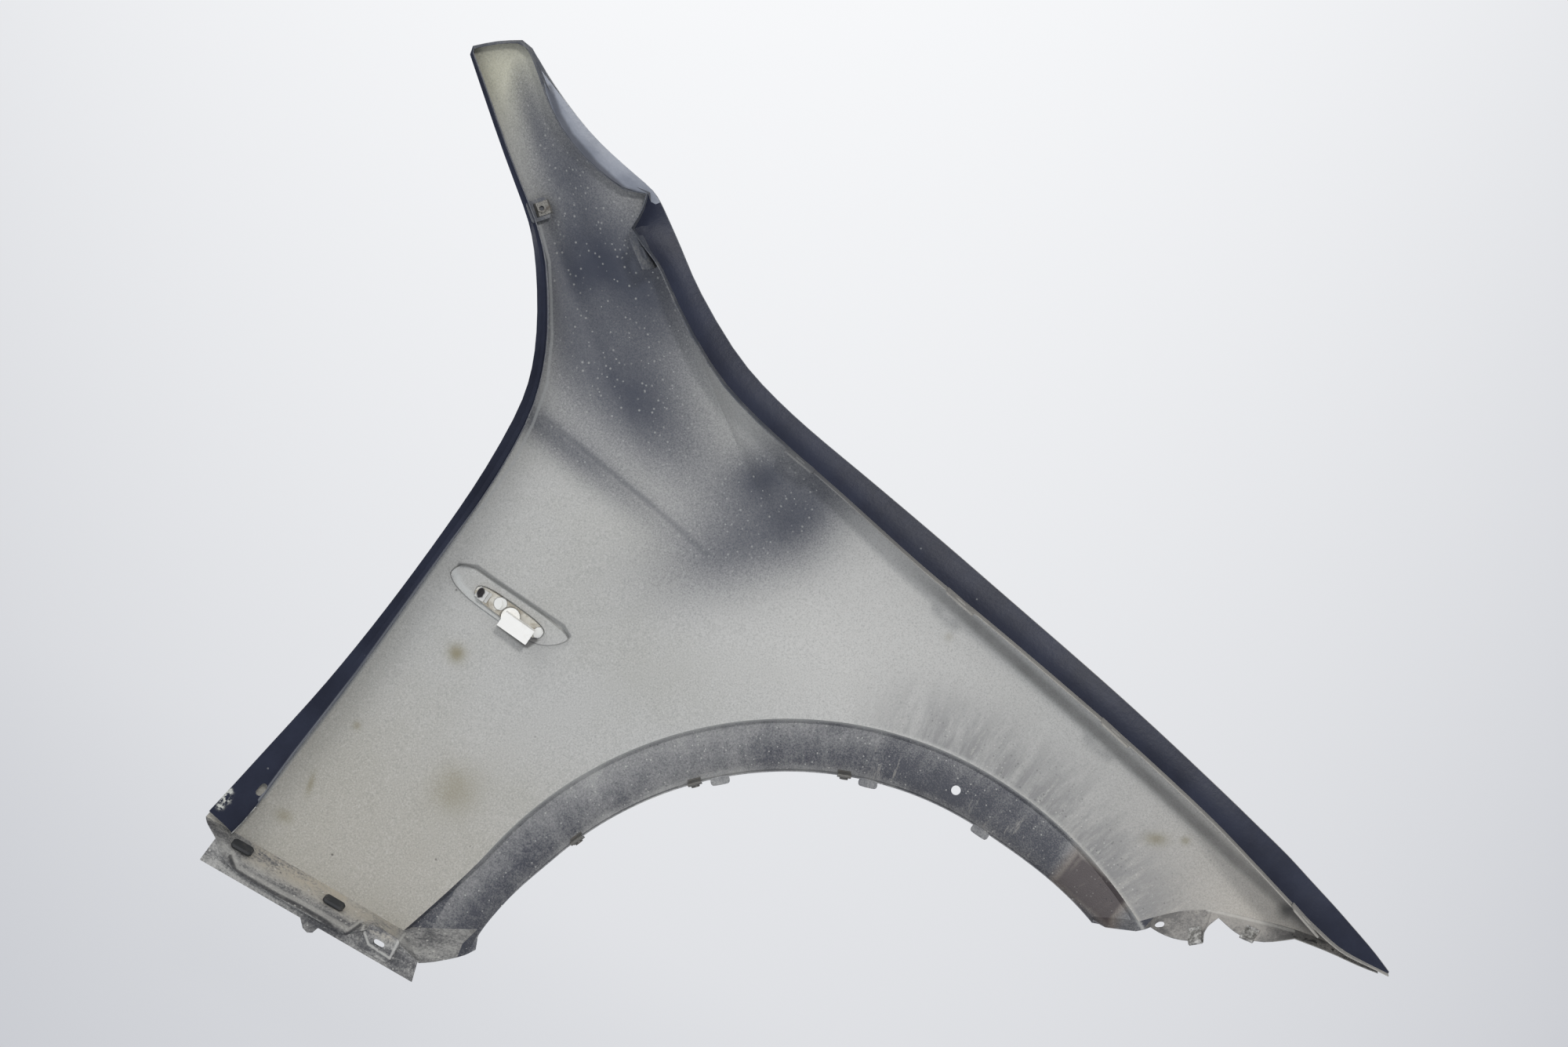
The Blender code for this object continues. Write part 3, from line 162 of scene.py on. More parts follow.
# %% [markdown]
# Paint is worked out with sums and products of patterns. Each Math node would take four lines, so one
# small class wraps a socket, and Python's own signs add the nodes.

# %% A socket that takes part in sums
class Value:
    """A socket of a node tree, on which sums can be written."""

    def __init__(self, tree, socket):
        self.tree, self.socket = tree, socket

    def math(self, operation, *others, clamp=False):
        return joined(self.tree, operation, (self,) + others, clamp)

    def __add__(self, other):
        return self.math("ADD", other)

    def __sub__(self, other):
        return self.math("SUBTRACT", other)

    def __rsub__(self, other):
        return joined(self.tree, "SUBTRACT", (other, self))

    def __mul__(self, other):
        return self.math("MULTIPLY", other)

    def __truediv__(self, other):
        return self.math("DIVIDE", other)

    def __pow__(self, other):
        return self.math("POWER", other)

    __radd__ = __add__
    __rmul__ = __mul__

    def clip(self):
        return self.math("ADD", 0.0, clamp=True)

    def step(self, low, high):
        """A soft step from nought at low to one at high; low may lie above high."""
        node = self.tree.nodes.new("ShaderNodeMapRange")
        node.interpolation_type = "SMOOTHSTEP"
        ends = (0.0, 1.0) if low < high else (1.0, 0.0)
        for socket, number in zip(node.inputs[1:5], (min(low, high), max(low, high)) + ends):
            socket.default_value = number
        self.tree.links.new(self.socket, node.inputs[0])
        return Value(self.tree, node.outputs[0])


def feed(tree, socket, item):
    """Links a value to a socket, or sets the socket to a plain number or colour."""
    if isinstance(item, Value):
        tree.links.new(item.socket, socket)
    else:
        socket.default_value = item


def joined(tree, operation, items, clamp=False):
    """Adds one Math node."""
    node = tree.nodes.new("ShaderNodeMath")
    node.operation = operation
    node.use_clamp = clamp
    for socket, item in zip(node.inputs, items):
        feed(tree, socket, item)
    return Value(tree, node.outputs[0])


def added(tree, kind, inputs=None, output=0):
    """Adds a node of any kind, feeds its inputs and gives back one of its outputs."""
    node = tree.nodes.new(kind)
    for name, item in (inputs or {}).items():
        feed(tree, node.inputs[name], item)
    return Value(tree, node.outputs[output])


# %% [markdown]
# A finish is a material that is being mixed. Its patterns read Object coordinates, which are metres on
# the car, so a scale of 100 means a hundred repeats in a metre on every piece alike.

# %% A finish and its patterns
SPECK_OUTER, SPECK_INNER = 1.4, 0.6


class Finish:
    """A material that is being mixed."""

    def __init__(self, name):
        self.material = bpy.data.materials.new(name)
        self.material.use_nodes = True
        self.tree = self.material.node_tree
        self.tree.nodes.clear()
        self.shader = self.tree.nodes.new("ShaderNodeBsdfPrincipled")
        self.end = self.tree.nodes.new("ShaderNodeOutputMaterial")
        self.tree.links.new(self.shader.outputs[0], self.end.inputs["Surface"])
        self.place = self.node("ShaderNodeTexCoord", output="Object")
        split = self.tree.nodes.new("ShaderNodeSeparateXYZ")
        self.tree.links.new(self.place.socket, split.inputs[0])
        self.x, self.y, self.z = (Value(self.tree, socket) for socket in split.outputs)

    def node(self, kind, inputs=None, output=0):
        return added(self.tree, kind, inputs, output)

    def noise(self, scale, detail=3.0, roughness=0.55, stretch=None):
        place = self.place
        if stretch:
            place = self.node("ShaderNodeMapping", inputs={"Vector": place, "Scale": stretch})
        return self.node("ShaderNodeTexNoise", inputs={"Vector": place, "Scale": scale, "Detail": detail,
                                                       "Roughness": roughness})

    def away_from(self, middle, stretch=None):
        """Distance from a place in side view. A stretch above one narrows it along x."""
        dx, dz = self.x - middle.x, self.z - middle.z
        wide = dx * dx if stretch is None else dx * dx * stretch
        return (wide + dz * dz).math("SQRT")

    def dots(self, scale, size, share):
        """Round specks: a share of the cells of a pattern have one, of a size up to the one given."""
        tex = {"Vector": self.place, "Scale": scale}
        near = self.node("ShaderNodeTexVoronoi", inputs=tex, output="Distance")
        lot = self.node("ShaderNodeTexVoronoi", inputs=tex, output="Color")
        pick = self.node("ShaderNodeSeparateColor", inputs={"Color": lot})
        speck = near.step(size * SPECK_OUTER, size * SPECK_INNER)
        return speck * pick.step(1 - share, 1 - share * SPECK_INNER)

    def patch(self, middle, across, along, turn=0.0, power=1.0):
        """A soft round or oval patch in side view: one at its middle, fading to nought."""
        dx, dz = self.x - middle.x, self.z - middle.z
        u = (dx * cos(turn) + dz * sin(turn)) * (1 / across)
        v = (dz * cos(turn) - dx * sin(turn)) * (1 / along)
        reach = (u * u + v * v)**power
        return (reach * -1.0).math("EXPONENT")

    def line(self, start, end, width, soft=0.5, square=False):
        """A straight stroke in side view between two places, with round or square ends."""
        run = Vector((end.x - start.x, end.z - start.z))
        length = run.length
        run /= length
        dx, dz = self.x - start.x, self.z - start.z
        along = dx * run.x + dz * run.y
        past = along - along.math("MAXIMUM", 0.0).math("MINIMUM", length)
        side = dx * -run.y + dz * run.x
        if square:
            away = past.math("ABSOLUTE").math("MAXIMUM", side.math("ABSOLUTE"))
        else:
            away = (past * past + side * side).math("SQRT")
        return away.step(width * (1 + soft) / 2, width * (1 - soft) / 2)

    def strokes(self, points, width, soft=0.5):
        """Strokes from one picture point to the next."""
        places = [seen(*point) for point in points]
        return self.most(*(self.line(a, b, width, soft) for a, b in zip(places, places[1:])))

    def most(self, *masks):
        """The strongest of several masks at each place."""
        result = masks[0]
        for mask in masks[1:]:
            result = result.math("MAXIMUM", mask)
        return result

    def blend(self, factor, low, high):
        node = self.tree.nodes.new("ShaderNodeMix")
        node.data_type = "RGBA"
        for socket, item in ((node.inputs["Factor"], factor), (node.inputs[6], low), (node.inputs[7], high)):
            feed(self.tree, socket, item)
        return Value(self.tree, node.outputs[2])

    def lay(self, under, mask, tone, strength=None):
        """Lays a tone of 0 to 255 levels over a colour, as far as the mask goes."""
        factor = mask if strength is None else mask * strength
        return self.blend(factor, under, linear(*tone))

    def close(self, colour, roughness=0.5, metallic=0.0, bump=None, bump_height=0.001, coat=0.0, **more):
        """Feeds the shader. Further sockets are named with _ for each space."""
        feed(self.tree, self.shader.inputs["Base Color"], colour)
        feed(self.tree, self.shader.inputs["Roughness"], roughness)
        feed(self.tree, self.shader.inputs["Metallic"], metallic)
        feed(self.tree, self.shader.inputs["Coat Weight"], coat)
        for name, item in more.items():
            feed(self.tree, self.shader.inputs[name.replace("_", " ")], item)
        if bump is not None:
            normal = self.node("ShaderNodeBump", inputs={"Height": bump, "Distance": bump_height})
            feed(self.tree, self.shader.inputs["Normal"], normal)
        print("finish", self.material.name, "nodes", len(self.tree.nodes))
        return self.material


# %% [markdown]
# The world lights the panel evenly from all sides. The camera, and what mirrors or lets through its view,
# sees a paler backdrop, brightest behind the spur and greyer towards the corners, so that the backdrop
# comes out near white without bleaching the primer. The far floor takes the same tone and melts into it.

# %% Backdrop
SEEN_RAYS = ("Is Camera Ray", "Is Glossy Ray", "Is Transmission Ray")
HALF_PICTURE = PIXEL * PICTURE[0] / 2 / DISTANCE
PALEST, GREYEST = (247, 248, 250), (196, 198, 204)
PICTURE_TOP = 0.667
SHADE_ACROSS, SHADE_DOWN, SHADE_GAIN = 0.22, 0.26, 1.5
LEAST_DEPTH = 0.4
ACROSS_ENDS, DOWN_ENDS = (-1.4, 1.4), (-0.6, 2.0)
WORLD_TONE, WORLD_STRENGTH = (226, 230, 236), 0.62
FLOOR_TONE = (228, 230, 234)
FLOOR_MELTS = (0.4, 2.2)
SHADOW_KEPT = 0.14


def reach_along(tree, toward, axis):
    """How far a direction reaches along an axis."""
    node = tree.nodes.new("ShaderNodeVectorMath")
    node.operation = "DOT_PRODUCT"
    tree.links.new(toward.socket, node.inputs[0])
    node.inputs[1].default_value = axis
    return Value(tree, node.outputs["Value"])


def backdrop(tree, toward):
    """The backdrop's colour in a direction, greyer to the sides and down, as the camera has them."""
    depth, side, rise = (reach_along(tree, toward, axis) for axis in (forward, right, up))
    scale = depth.math("MAXIMUM", LEAST_DEPTH) * HALF_PICTURE
    across = (side / scale).math("MINIMUM", ACROSS_ENDS[1]).math("MAXIMUM", ACROSS_ENDS[0])
    down = (PICTURE_TOP - rise / scale).math("MINIMUM", DOWN_ENDS[1]).math("MAXIMUM", DOWN_ENDS[0])
    shade = across * across * SHADE_ACROSS + down.math("MAXIMUM", 0.0) * SHADE_DOWN
    mix = tree.nodes.new("ShaderNodeMix")
    mix.data_type = "RGBA"
    ends = shade.clip() * SHADE_GAIN, linear(*PALEST), linear(*GREYEST)
    for socket, item in zip((mix.inputs["Factor"], mix.inputs[6], mix.inputs[7]), ends):
        feed(tree, socket, item)
    return Value(tree, mix.outputs[2])


def seen_ray(tree):
    """One for a ray by which the backdrop is seen, nought for one by which it lights."""
    path = tree.nodes.new("ShaderNodeLightPath")
    first, second, third = (Value(tree, path.outputs[name]) for name in SEEN_RAYS)
    return first.math("MAXIMUM", second).math("MAXIMUM", third)


world = bpy.data.worlds.new("studio")
world.use_nodes = True
bpy.context.scene.world = world
sky = world.node_tree
sky.nodes.clear()
lit = added(sky, "ShaderNodeBackground", {"Color": linear(*WORLD_TONE), "Strength": WORLD_STRENGTH})
shown = added(sky, "ShaderNodeBackground", {"Color": backdrop(sky, added(sky, "ShaderNodeTexCoord"))})
either = added(sky, "ShaderNodeMixShader", {"Fac": seen_ray(sky)})
sky.links.new(lit.socket, either.socket.node.inputs[1])
sky.links.new(shown.socket, either.socket.node.inputs[2])
sky.links.new(either.socket, sky.nodes.new("ShaderNodeOutputWorld").inputs["Surface"])

floor_coat = Finish("pale_floor")
floor_mesh.materials.append(floor_coat.close(linear(*FLOOR_TONE), roughness=0.8))
toward = floor_coat.node("ShaderNodeVectorMath", inputs={0: floor_coat.place, 1: tuple(MIDDLE - eye)})
far_off = (floor_coat.x * floor_coat.x + floor_coat.y * floor_coat.y).math("SQRT").step(*FLOOR_MELTS)
glow = floor_coat.node("ShaderNodeEmission", inputs={"Color": backdrop(floor_coat.tree, toward)})
share = seen_ray(floor_coat.tree) * (far_off * SHADOW_KEPT + (1 - SHADOW_KEPT))
matte = Value(floor_coat.tree, floor_coat.shader.outputs[0])
mixed = floor_coat.node("ShaderNodeMixShader", inputs={0: share, 1: matte, 2: glow})
floor_coat.tree.links.new(mixed.socket, floor_coat.end.inputs["Surface"])

# %% [markdown]
# Primer was sprayed pale grey over the whole inside. Later the blue-black top coat drifted over the spur,
# the neck and a spot by the bonnet edge, grainy where it thins out. Soft patches, each placed by the
# picture, add up to that drift. One long patch below the crease is painted shade instead. A patch with a
# negative strength keeps its place pale.

# %% Overspray and painted crease shade
DRIFT_AND_CREASE_SHADE = (
    # across, down, half width, half height, turn in degrees, strength
    (676, 135, 17, 89, -17, 0.51),
    (730, 204, 39, 69, -17, 0.66),
    (739, 318, 103, 72, 21, 0.42),
    (746, 343, 93, 72, -3, 0.52),
    (844, 379, 54, 111, -9, 0.52),
    (746, 429, 116, 58, 3, 0.38),
    (809, 528, 140, 56, 38, 0.74),
    (974, 602, 44, 32, -27, 0.52),
    (1040, 638, 80, 44, -59, 0.55),
    (963, 634, 110, 47, -24, 0.29),
    # painted shade: the long band below the crease, not overspray
    (698, 550, 160, 20, 39, 0.61),
    (943, 700, 99, 48, -21, 0.59),
    (650, 66, 34, 34, 0, -0.34),
    (697, 452, 13, 62, 0, -0.22),
    (826, 492, 64, 44, 38, 0.17),
)
DRIFT_MOTTLE = 0.24
DRIFT_FALL = 0.70
DRIFT_GRAIN = 2.6


def drift_and_crease_shade(coat, mottle, grain):
    """How much top coat has drifted over each place, grainy where thin, plus painted shade below the crease."""
    drift_and_shade = None
    for across, down, half_width, half_height, turn, strength in DRIFT_AND_CREASE_SHADE:
        spot = coat.patch(seen(across, down), half_width * PIXEL, half_height * PIXEL, ROLL - radians(turn))
        drift_and_shade = spot * strength if drift_and_shade is None else drift_and_shade + spot * strength
    drift_and_shade = (drift_and_shade * (mottle * DRIFT_MOTTLE + (1 - DRIFT_MOTTLE / 2))).clip()
    return (drift_and_shade**DRIFT_FALL + (grain - 0.5) * drift_and_shade * (1 - drift_and_shade) * DRIFT_GRAIN).clip()


print("patches of overspray:", len(DRIFT_AND_CREASE_SHADE))

# %% [markdown]
# Some pressed lines are too fine for the mesh, so their light and shade is painted: painted shade along the
# crease below the neck, a painted highlight along the bare rim of the door return, and painted highlight,
# shade and shadow on the walls and floor of the lamp's pocket. Strokes from one picture point to the next
# draw them, and each stroke has a width in metres.

# %% Painted shade and highlights of creases and rims
CREASE = (
    # start, end, strength
    ((694, 532), (736, 566), 0.6),
    ((736, 566), (834, 646), 1.0),
    ((834, 646), (903, 707), 0.8),
)
CREASE_WIDTH, CREASE_SOFT = 0.005, 0.9
# painted highlight along the door return's rim, laid on the primer and on the wall's paint
RETURN_RIM_HIGHLIGHT = ((688, 285), (697, 330), (703, 380), (704, 430), (698, 490), (680, 540), (655, 590), (618, 642),
              (580, 690), (537, 749), (460, 856), (379, 960), (337, 1017))
RETURN_RIM_HIGHLIGHT_WIDTH = 0.0026
POCKET_LIGHT_AND_SHADE = (
    # points, width, softness, strength, tone
    # painted highlight on the pocket's lower wall
    (((579, 728), (588, 746), (612, 772), (636, 790)), 0.0060, 0.8, 0.5, (206, 208, 205)),
    # painted shade on the pocket's upper wall
    (((586, 720), (609, 723), (632, 740), (673, 768), (718, 798), (726, 811)), 0.0040, 0.5, 0.62, (92, 94, 95)),
    # painted shadow of the connector on the pocket's floor
    (((639, 797), (672, 822), (682, 815)), 0.0065, 0.5, 0.75, (66, 64, 62)),
)


def crease_shade(coat):
    """The pressed crease catches a line of shade that fades forward."""
    return coat.most(*(coat.line(seen(*start), seen(*end), CREASE_WIDTH, CREASE_SOFT) * strength
                       for start, end, strength in CREASE))


def marked(coat, colour, marks):
    """Lays strokes of their own tones over a colour."""
    for points, width, soft, strength, tone in marks:
        colour = coat.lay(colour, coat.strokes(points, width, soft), tone, strength)
    return colour


print("strokes:", len(CREASE) + len(RETURN_RIM_HIGHLIGHT) - 1 + sum(len(mark[0]) - 1 for mark in POCKET_LIGHT_AND_SHADE))

# %% [markdown]
# The wheel throws wet dust and grit outwards, so that dirt runs in streaks away from the wheel's centre.
# Polar coordinates about that centre give the streaks: a noise is fine along the angle and coarse along
# the distance.

# %% Round the wheel
WHEEL = Vector((0.1197, 0.0, -0.4991))
LIP_AT, FLARE_AT = 0.327, 0.374
STREAKS = {"turn": 30.0, "far": 14.0, "depth": 9.0}
VEIL_REACH = 0.085
VEIL_SHADE_TONE = (140, 139, 138)
VEIL_STREAKS = (204, 202, 194)


def round_wheel(coat):
    """Distance from the wheel's centre, angle about it, and a noise that runs in streaks away from it."""
    far = coat.away_from(WHEEL)
    turn = (coat.x - WHEEL.x).math("ARCTAN2", coat.z - WHEEL.z)
    polar = coat.node("ShaderNodeCombineXYZ", inputs={"X": turn * STREAKS["turn"], "Y": far * STREAKS["far"],
                                                      "Z": coat.y * STREAKS["depth"]})
    run = coat.node("ShaderNodeTexNoise", inputs={"Vector": polar, "Scale": 1.0, "Detail": 7.0,
                                                  "Roughness": 0.72})
    return far, turn, run


def flare_shade_and_dust(coat, colour, grain):
    """A grey veil of painted shade beside the flare in front, with the wheel's pale dust streaks and specks."""
    far, turn, run = round_wheel(coat)
    past = far - FLARE_AT
    veil = past.step(VEIL_REACH, 0.0) * past.step(-0.001, 0.004) * turn.step(-0.42, -0.12)
    # painted shade: a streaked grey veil that fades outward from the flare
    colour = coat.lay(colour, veil * (run.step(0.30, 0.62) * 0.7 + 0.25), VEIL_SHADE_TONE)
    streaks = run.step(0.56, 0.66) * grain.step(0.40, 0.62)
    colour = coat.lay(colour, veil * streaks, VEIL_STREAKS, 0.75)
    colour = coat.lay(colour, veil * coat.dots(230.0, 0.20, 0.45), (96, 96, 96), 0.5)
    return coat.lay(colour, veil * coat.dots(240.0, 0.16, 0.40), (216, 214, 208), 0.55)


print("flare", round((FLARE_AT - LIP_AT) * 1000), "mm outside the lip")

# %% [markdown]
# A painted shadow lies on the skin beside the bonnet lip, darkest in the corner of the nose, and a few
# brownish stains have come through the primer. They are rows of numbers, so that one more stain is one more
# row.

# %% Painted lip shadow and stains
LIP_PATH = ((1150, 716), (1194, 753), (1287, 835), (1401, 935), (1479, 1006), (1579, 1099), (1643, 1156))
LIP_SHADOW_WIDTH = 0.010
NOSE_CORNER_SHADOW = ((1643, 1162), (1672, 1180), (1704, 1204))
NOSE_CORNER_SHADOW_WIDTH = 0.014
STAINS = (
    # across, down, half width and half height in metres, turn, strength
    (580, 1005, 0.021, 0.021, 0.0, 0.45),
    (582, 833, 0.0085, 0.0085, 0.0, 0.75),
    (396, 1000, 0.003, 0.010, 0.2, 0.6),
    (362, 1040, 0.008, 0.006, 0.0, 0.5),
    (455, 925, 0.004, 0.004, 0.0, 0.5),
    (1475, 1070, 0.010, 0.006, 0.5, 0.55),
    (1512, 1072, 0.004, 0.004, 0.0, 0.5),
    (1210, 812, 0.004, 0.004, 0.0, 0.3),
)


def lip_shadow(coat, colour, mottle):
    """Painted shadow beside the bonnet lip, mottled, darkest in the corner of the nose."""
    beside = coat.strokes(LIP_PATH, LIP_SHADOW_WIDTH, 0.7) * coat.x.step(-0.08, 0.05)
    corner = coat.strokes(NOSE_CORNER_SHADOW, NOSE_CORNER_SHADOW_WIDTH, 0.9)
    colour = coat.lay(colour, beside * (mottle * 0.5 + 0.35), (96, 95, 92))
    return coat.lay(colour, corner, (58, 58, 58), 0.8)


def stain_marks(coat, mottle):
    """All stains together, mottled."""
    spots = (coat.patch(seen(across, down), wide, high, turn) * strength
             for across, down, wide, high, turn, strength in STAINS)
    return (coat.most(*spots) * (mottle + 0.55)).clip()


print("stains:", len(STAINS))

# %% [markdown]
# Now the primer itself, with its paler and sandier regions, grain, a painted shadow beside the bonnet lip,
# painted shade and dust by the flare, overspray, painted shade and highlights of creases and rims, specks
# that show most on the overspray, and stains. Each lay call puts one coat over those before it, and the
# finished material goes on the list of the panel's finishes.

# %% Primer
PRIMER_REGIONS = (
    # across, down, half width and half height in metres, strength, tone
    (1150, 790, 0.26, 0.13, 0.85, (206, 204, 199)),
    (632, 82, 0.045, 0.055, 0.9, (196, 193, 170)),
)
PRIMER_SPECKS = (
    # cells in a metre, size, share of cells, strength on overspray and elsewhere, tone
    (190.0, 0.19, 0.60, 0.60, 0.05, (176, 176, 172)),
    (136.0, 0.085, 0.60, 0.62, 0.05, (206, 206, 202)),
    (47.0, 0.050, 0.09, 0.80, 0.08, (232, 232, 228)),
)
PRIMER_TONES = (176, 175, 169), (185, 184, 180)
NOSE_SAND, SILL_SAND = (190, 182, 170), (174, 167, 151)
GRAIN_TONES = (120, 120, 118), (218, 217, 213)
GRAIN_STRENGTH = 0.34
OVERSPRAY_AND_SHADE_TONE = (62, 66, 78)
STAIN_TONE = (133, 124, 92)


def primer():
    coat = Finish("primer_inside")
    grain = coat.noise(640.0, 3.0, 0.85)
    cloud = coat.noise(6.0, 4.0, 0.6)
    mottle = coat.noise(38.0, 5.0, 0.65)
    colour = coat.blend(cloud.step(0.35, 0.65), *(linear(*tone) for tone in PRIMER_TONES))
    colour = coat.lay(colour, coat.x.step(0.10, 0.44), NOSE_SAND, 0.80)
    colour = coat.lay(colour, coat.z.step(-0.24, -0.50), SILL_SAND, 0.55)
    for across, down, wide, high, strength, tone in PRIMER_REGIONS:
        colour = coat.lay(colour, coat.patch(seen(across, down), wide, high), tone, strength)
    colour = coat.lay(colour, grain.step(0.50, 0.64), GRAIN_TONES[0], GRAIN_STRENGTH)
    colour = coat.lay(colour, grain.step(0.48, 0.36), GRAIN_TONES[1], GRAIN_STRENGTH)
    # painted highlight, shade and shadow in the lamp's pocket
    colour = marked(coat, colour, POCKET_LIGHT_AND_SHADE)
    # painted shadow beside the bonnet lip
    colour = lip_shadow(coat, colour, mottle)
    # painted shade beside the flare, with dust streaks and specks
    colour = flare_shade_and_dust(coat, colour, grain)
    drift_and_shade = drift_and_crease_shade(coat, mottle, grain)
    # overspray, together with the painted shade below the crease
    colour = coat.lay(colour, drift_and_shade, OVERSPRAY_AND_SHADE_TONE)
    # painted shade along the crease below the neck
    colour = coat.lay(colour, crease_shade(coat), (84, 86, 92), 0.5)
    for scale, size, share, on_drift, elsewhere, tone in PRIMER_SPECKS:
        colour = coat.lay(colour, coat.dots(scale, size, share) * (drift_and_shade * on_drift + elsewhere), tone)
    # painted highlight along the door return's rim
    colour = coat.lay(colour, coat.strokes(RETURN_RIM_HIGHLIGHT, RETURN_RIM_HIGHLIGHT_WIDTH), (178, 179, 178), 0.55)
    colour = coat.lay(colour, coat.dots(46.0, 0.055, 0.12), (70, 66, 60), 0.7)
    colour = coat.lay(colour, stain_marks(coat, mottle), STAIN_TONE)
    return coat.close(colour, roughness=0.62 - drift_and_shade * 0.12, bump=grain * 0.3 + mottle * 0.3,
                      bump_height=0.0006)


PANEL_FINISHES = {"primer_inside": primer()}

# %% [markdown]
# The folded edges took the top coat in full. It is a gloss paint, so its colour is nearly black and most
# of what is seen is the room in it. Fine dust dulls it in patches. The wall along the bonnet is duller
# than the outside, with less to mirror, and old sealant sticks to the foot of the door return. The cowl
# flange gets a pale paint as a painted reflection of the room, with painted shade along its fold.

# %% Gloss top coat, its dusty kinds and a painted reflection
GLOSS_PAINT = (21, 24, 36), (33, 37, 51)
GLOSS_DUST = (128, 132, 144)
COAT_ROUGHNESS = 0.08
SEALANT_TONE = (196, 196, 188)
SEALANT = ((287, 1018, 0.0050), (281, 1028, 0.0032), (293, 1009, 0.0030))
COWL_FOLD_SHADE = ((700, 112), (712, 146), (727, 172), (760, 210), (796, 242), (824, 250))


def top_coat(name, dust_share, dust_tone=GLOSS_DUST, rough=0.22, paint=GLOSS_PAINT, shine=0.3, chips=(),
             painted_lines=(), mirror=0.5):
    """Gloss paint under dust. Painted lines are strokes of painted light in another tone; chips are sealant."""
    coat = Finish(name)
    fine = coat.noise(240.0, 4.0, 0.7)
    broad = coat.noise(16.0, 5.0, 0.6)
    scratches = coat.noise(60.0, 3.0, 0.6, stretch=(1.0, 1.0, 9.0))
    dust = ((broad * 0.55 + fine * 0.45) + (dust_share - 0.5) * 0.6).step(0.42, 0.74) * dust_share
    colour = coat.blend(broad.step(0.3, 0.7), linear(*paint[0]), linear(*paint[1]))
    colour = coat.lay(colour, dust, dust_tone)
    colour = coat.lay(colour, coat.dots(120.0, 0.10, 0.10), (170, 170, 168), 0.35)
    for points, width, tone in painted_lines:
        colour = coat.lay(colour, coat.strokes(points, width, 0.6), tone, 0.7)
    for across, down, size in chips:
        chip = coat.patch(seen(across, down), size, size, power=1.4) * fine.step(0.44, 0.56) * 1.5
        colour = coat.lay(colour, chip.clip(), SEALANT_TONE)
    return coat.close(colour, roughness=dust * 0.5 + scratches * 0.08 + rough, bump=fine, bump_height=0.00015,
                      coat=(1 - dust) * shine, Coat_Roughness=COAT_ROUGHNESS, Specular_IOR_Level=mirror)


PANEL_FINISHES["top_coat_outside"] = top_coat("top_coat_outside", 0.10)
# the door return's wall gets a painted highlight stroke along its rim
PANEL_FINISHES["bonnet_wall"] = top_coat(
    "bonnet_wall", 0.14, dust_tone=(112, 117, 128), rough=0.30, paint=((34, 37, 50), (46, 50, 65)), shine=0.0,
    chips=SEALANT, painted_lines=((RETURN_RIM_HIGHLIGHT, 0.0030, (150, 152, 156)),), mirror=0.13)
# painted reflection: the cowl flange's pale paint, with a painted shade stroke along its fold
PANEL_FINISHES["cowl_flange_reflection"] = top_coat(
    "cowl_flange_reflection", 0.45, dust_tone=(162, 166, 174), rough=0.3, paint=((112, 117, 128), (138, 142, 152)),
    painted_lines=((COWL_FOLD_SHADE, 0.0060, (40, 43, 54)),))

# %% [markdown]
# The lips that are folded back along the bonnet and the door are dark by the neck and pale with dust
# towards the nose, where their paint has chipped.

# %% Lips
FINE_GRIT = (420.0, 3.0, 0.75)
LIP_TONES = (74, 77, 84), (160, 156, 148)
LIP_CHIPS = ((1655, 1146), (1672, 1162), (1692, 1186))


def lip_dust():
    coat = Finish("dusty_edge")
    fine = coat.noise(*FINE_GRIT)
    broad = coat.noise(30.0, 4.0, 0.6)
    colour = coat.blend(coat.x.step(-0.26, 0.06), *(linear(*tone) for tone in LIP_TONES))
    colour = coat.lay(colour, (broad * 0.5 + fine * 0.5).step(0.44, 0.62), (128, 127, 124), 0.55)
    chips = coat.strokes(LIP_CHIPS, 0.0035, 0.9) * fine.step(0.38, 0.52)
    colour = coat.lay(colour, chips, (216, 213, 204), 0.9)
    return coat.close(colour, roughness=0.5, bump=fine, bump_height=0.0003)


PANEL_FINISHES["dusty_edge"] = lip_dust()

# %% [markdown]
# The flange under the nose is dusty all over. A pale line runs along its fold, its lower edge and the ring
# round its hole are darker, the strip behind it has a row of dark marks, and a painted shadow fills the
# wedge beside the bonnet lip.

# %% Nose flange
NOSE_TONES = (118, 116, 114), (192, 187, 180)
NOSE_SHARE, NOSE_STREAKS = 0.72, 0.3
NOSE_RIDGE = ((1540, 1160), (1600, 1174), (1650, 1187))
NOSE_EDGE = ((1490, 1197), (1515, 1203), (1545, 1202))
NOSE_HOLE = (1474, 1181)
NOSE_STRIP = ((1650, 1193), (1676, 1200), (1702, 1212))
NOSE_WEDGE_SHADOW = ((1686, 1196), (1710, 1210), (1726, 1220))


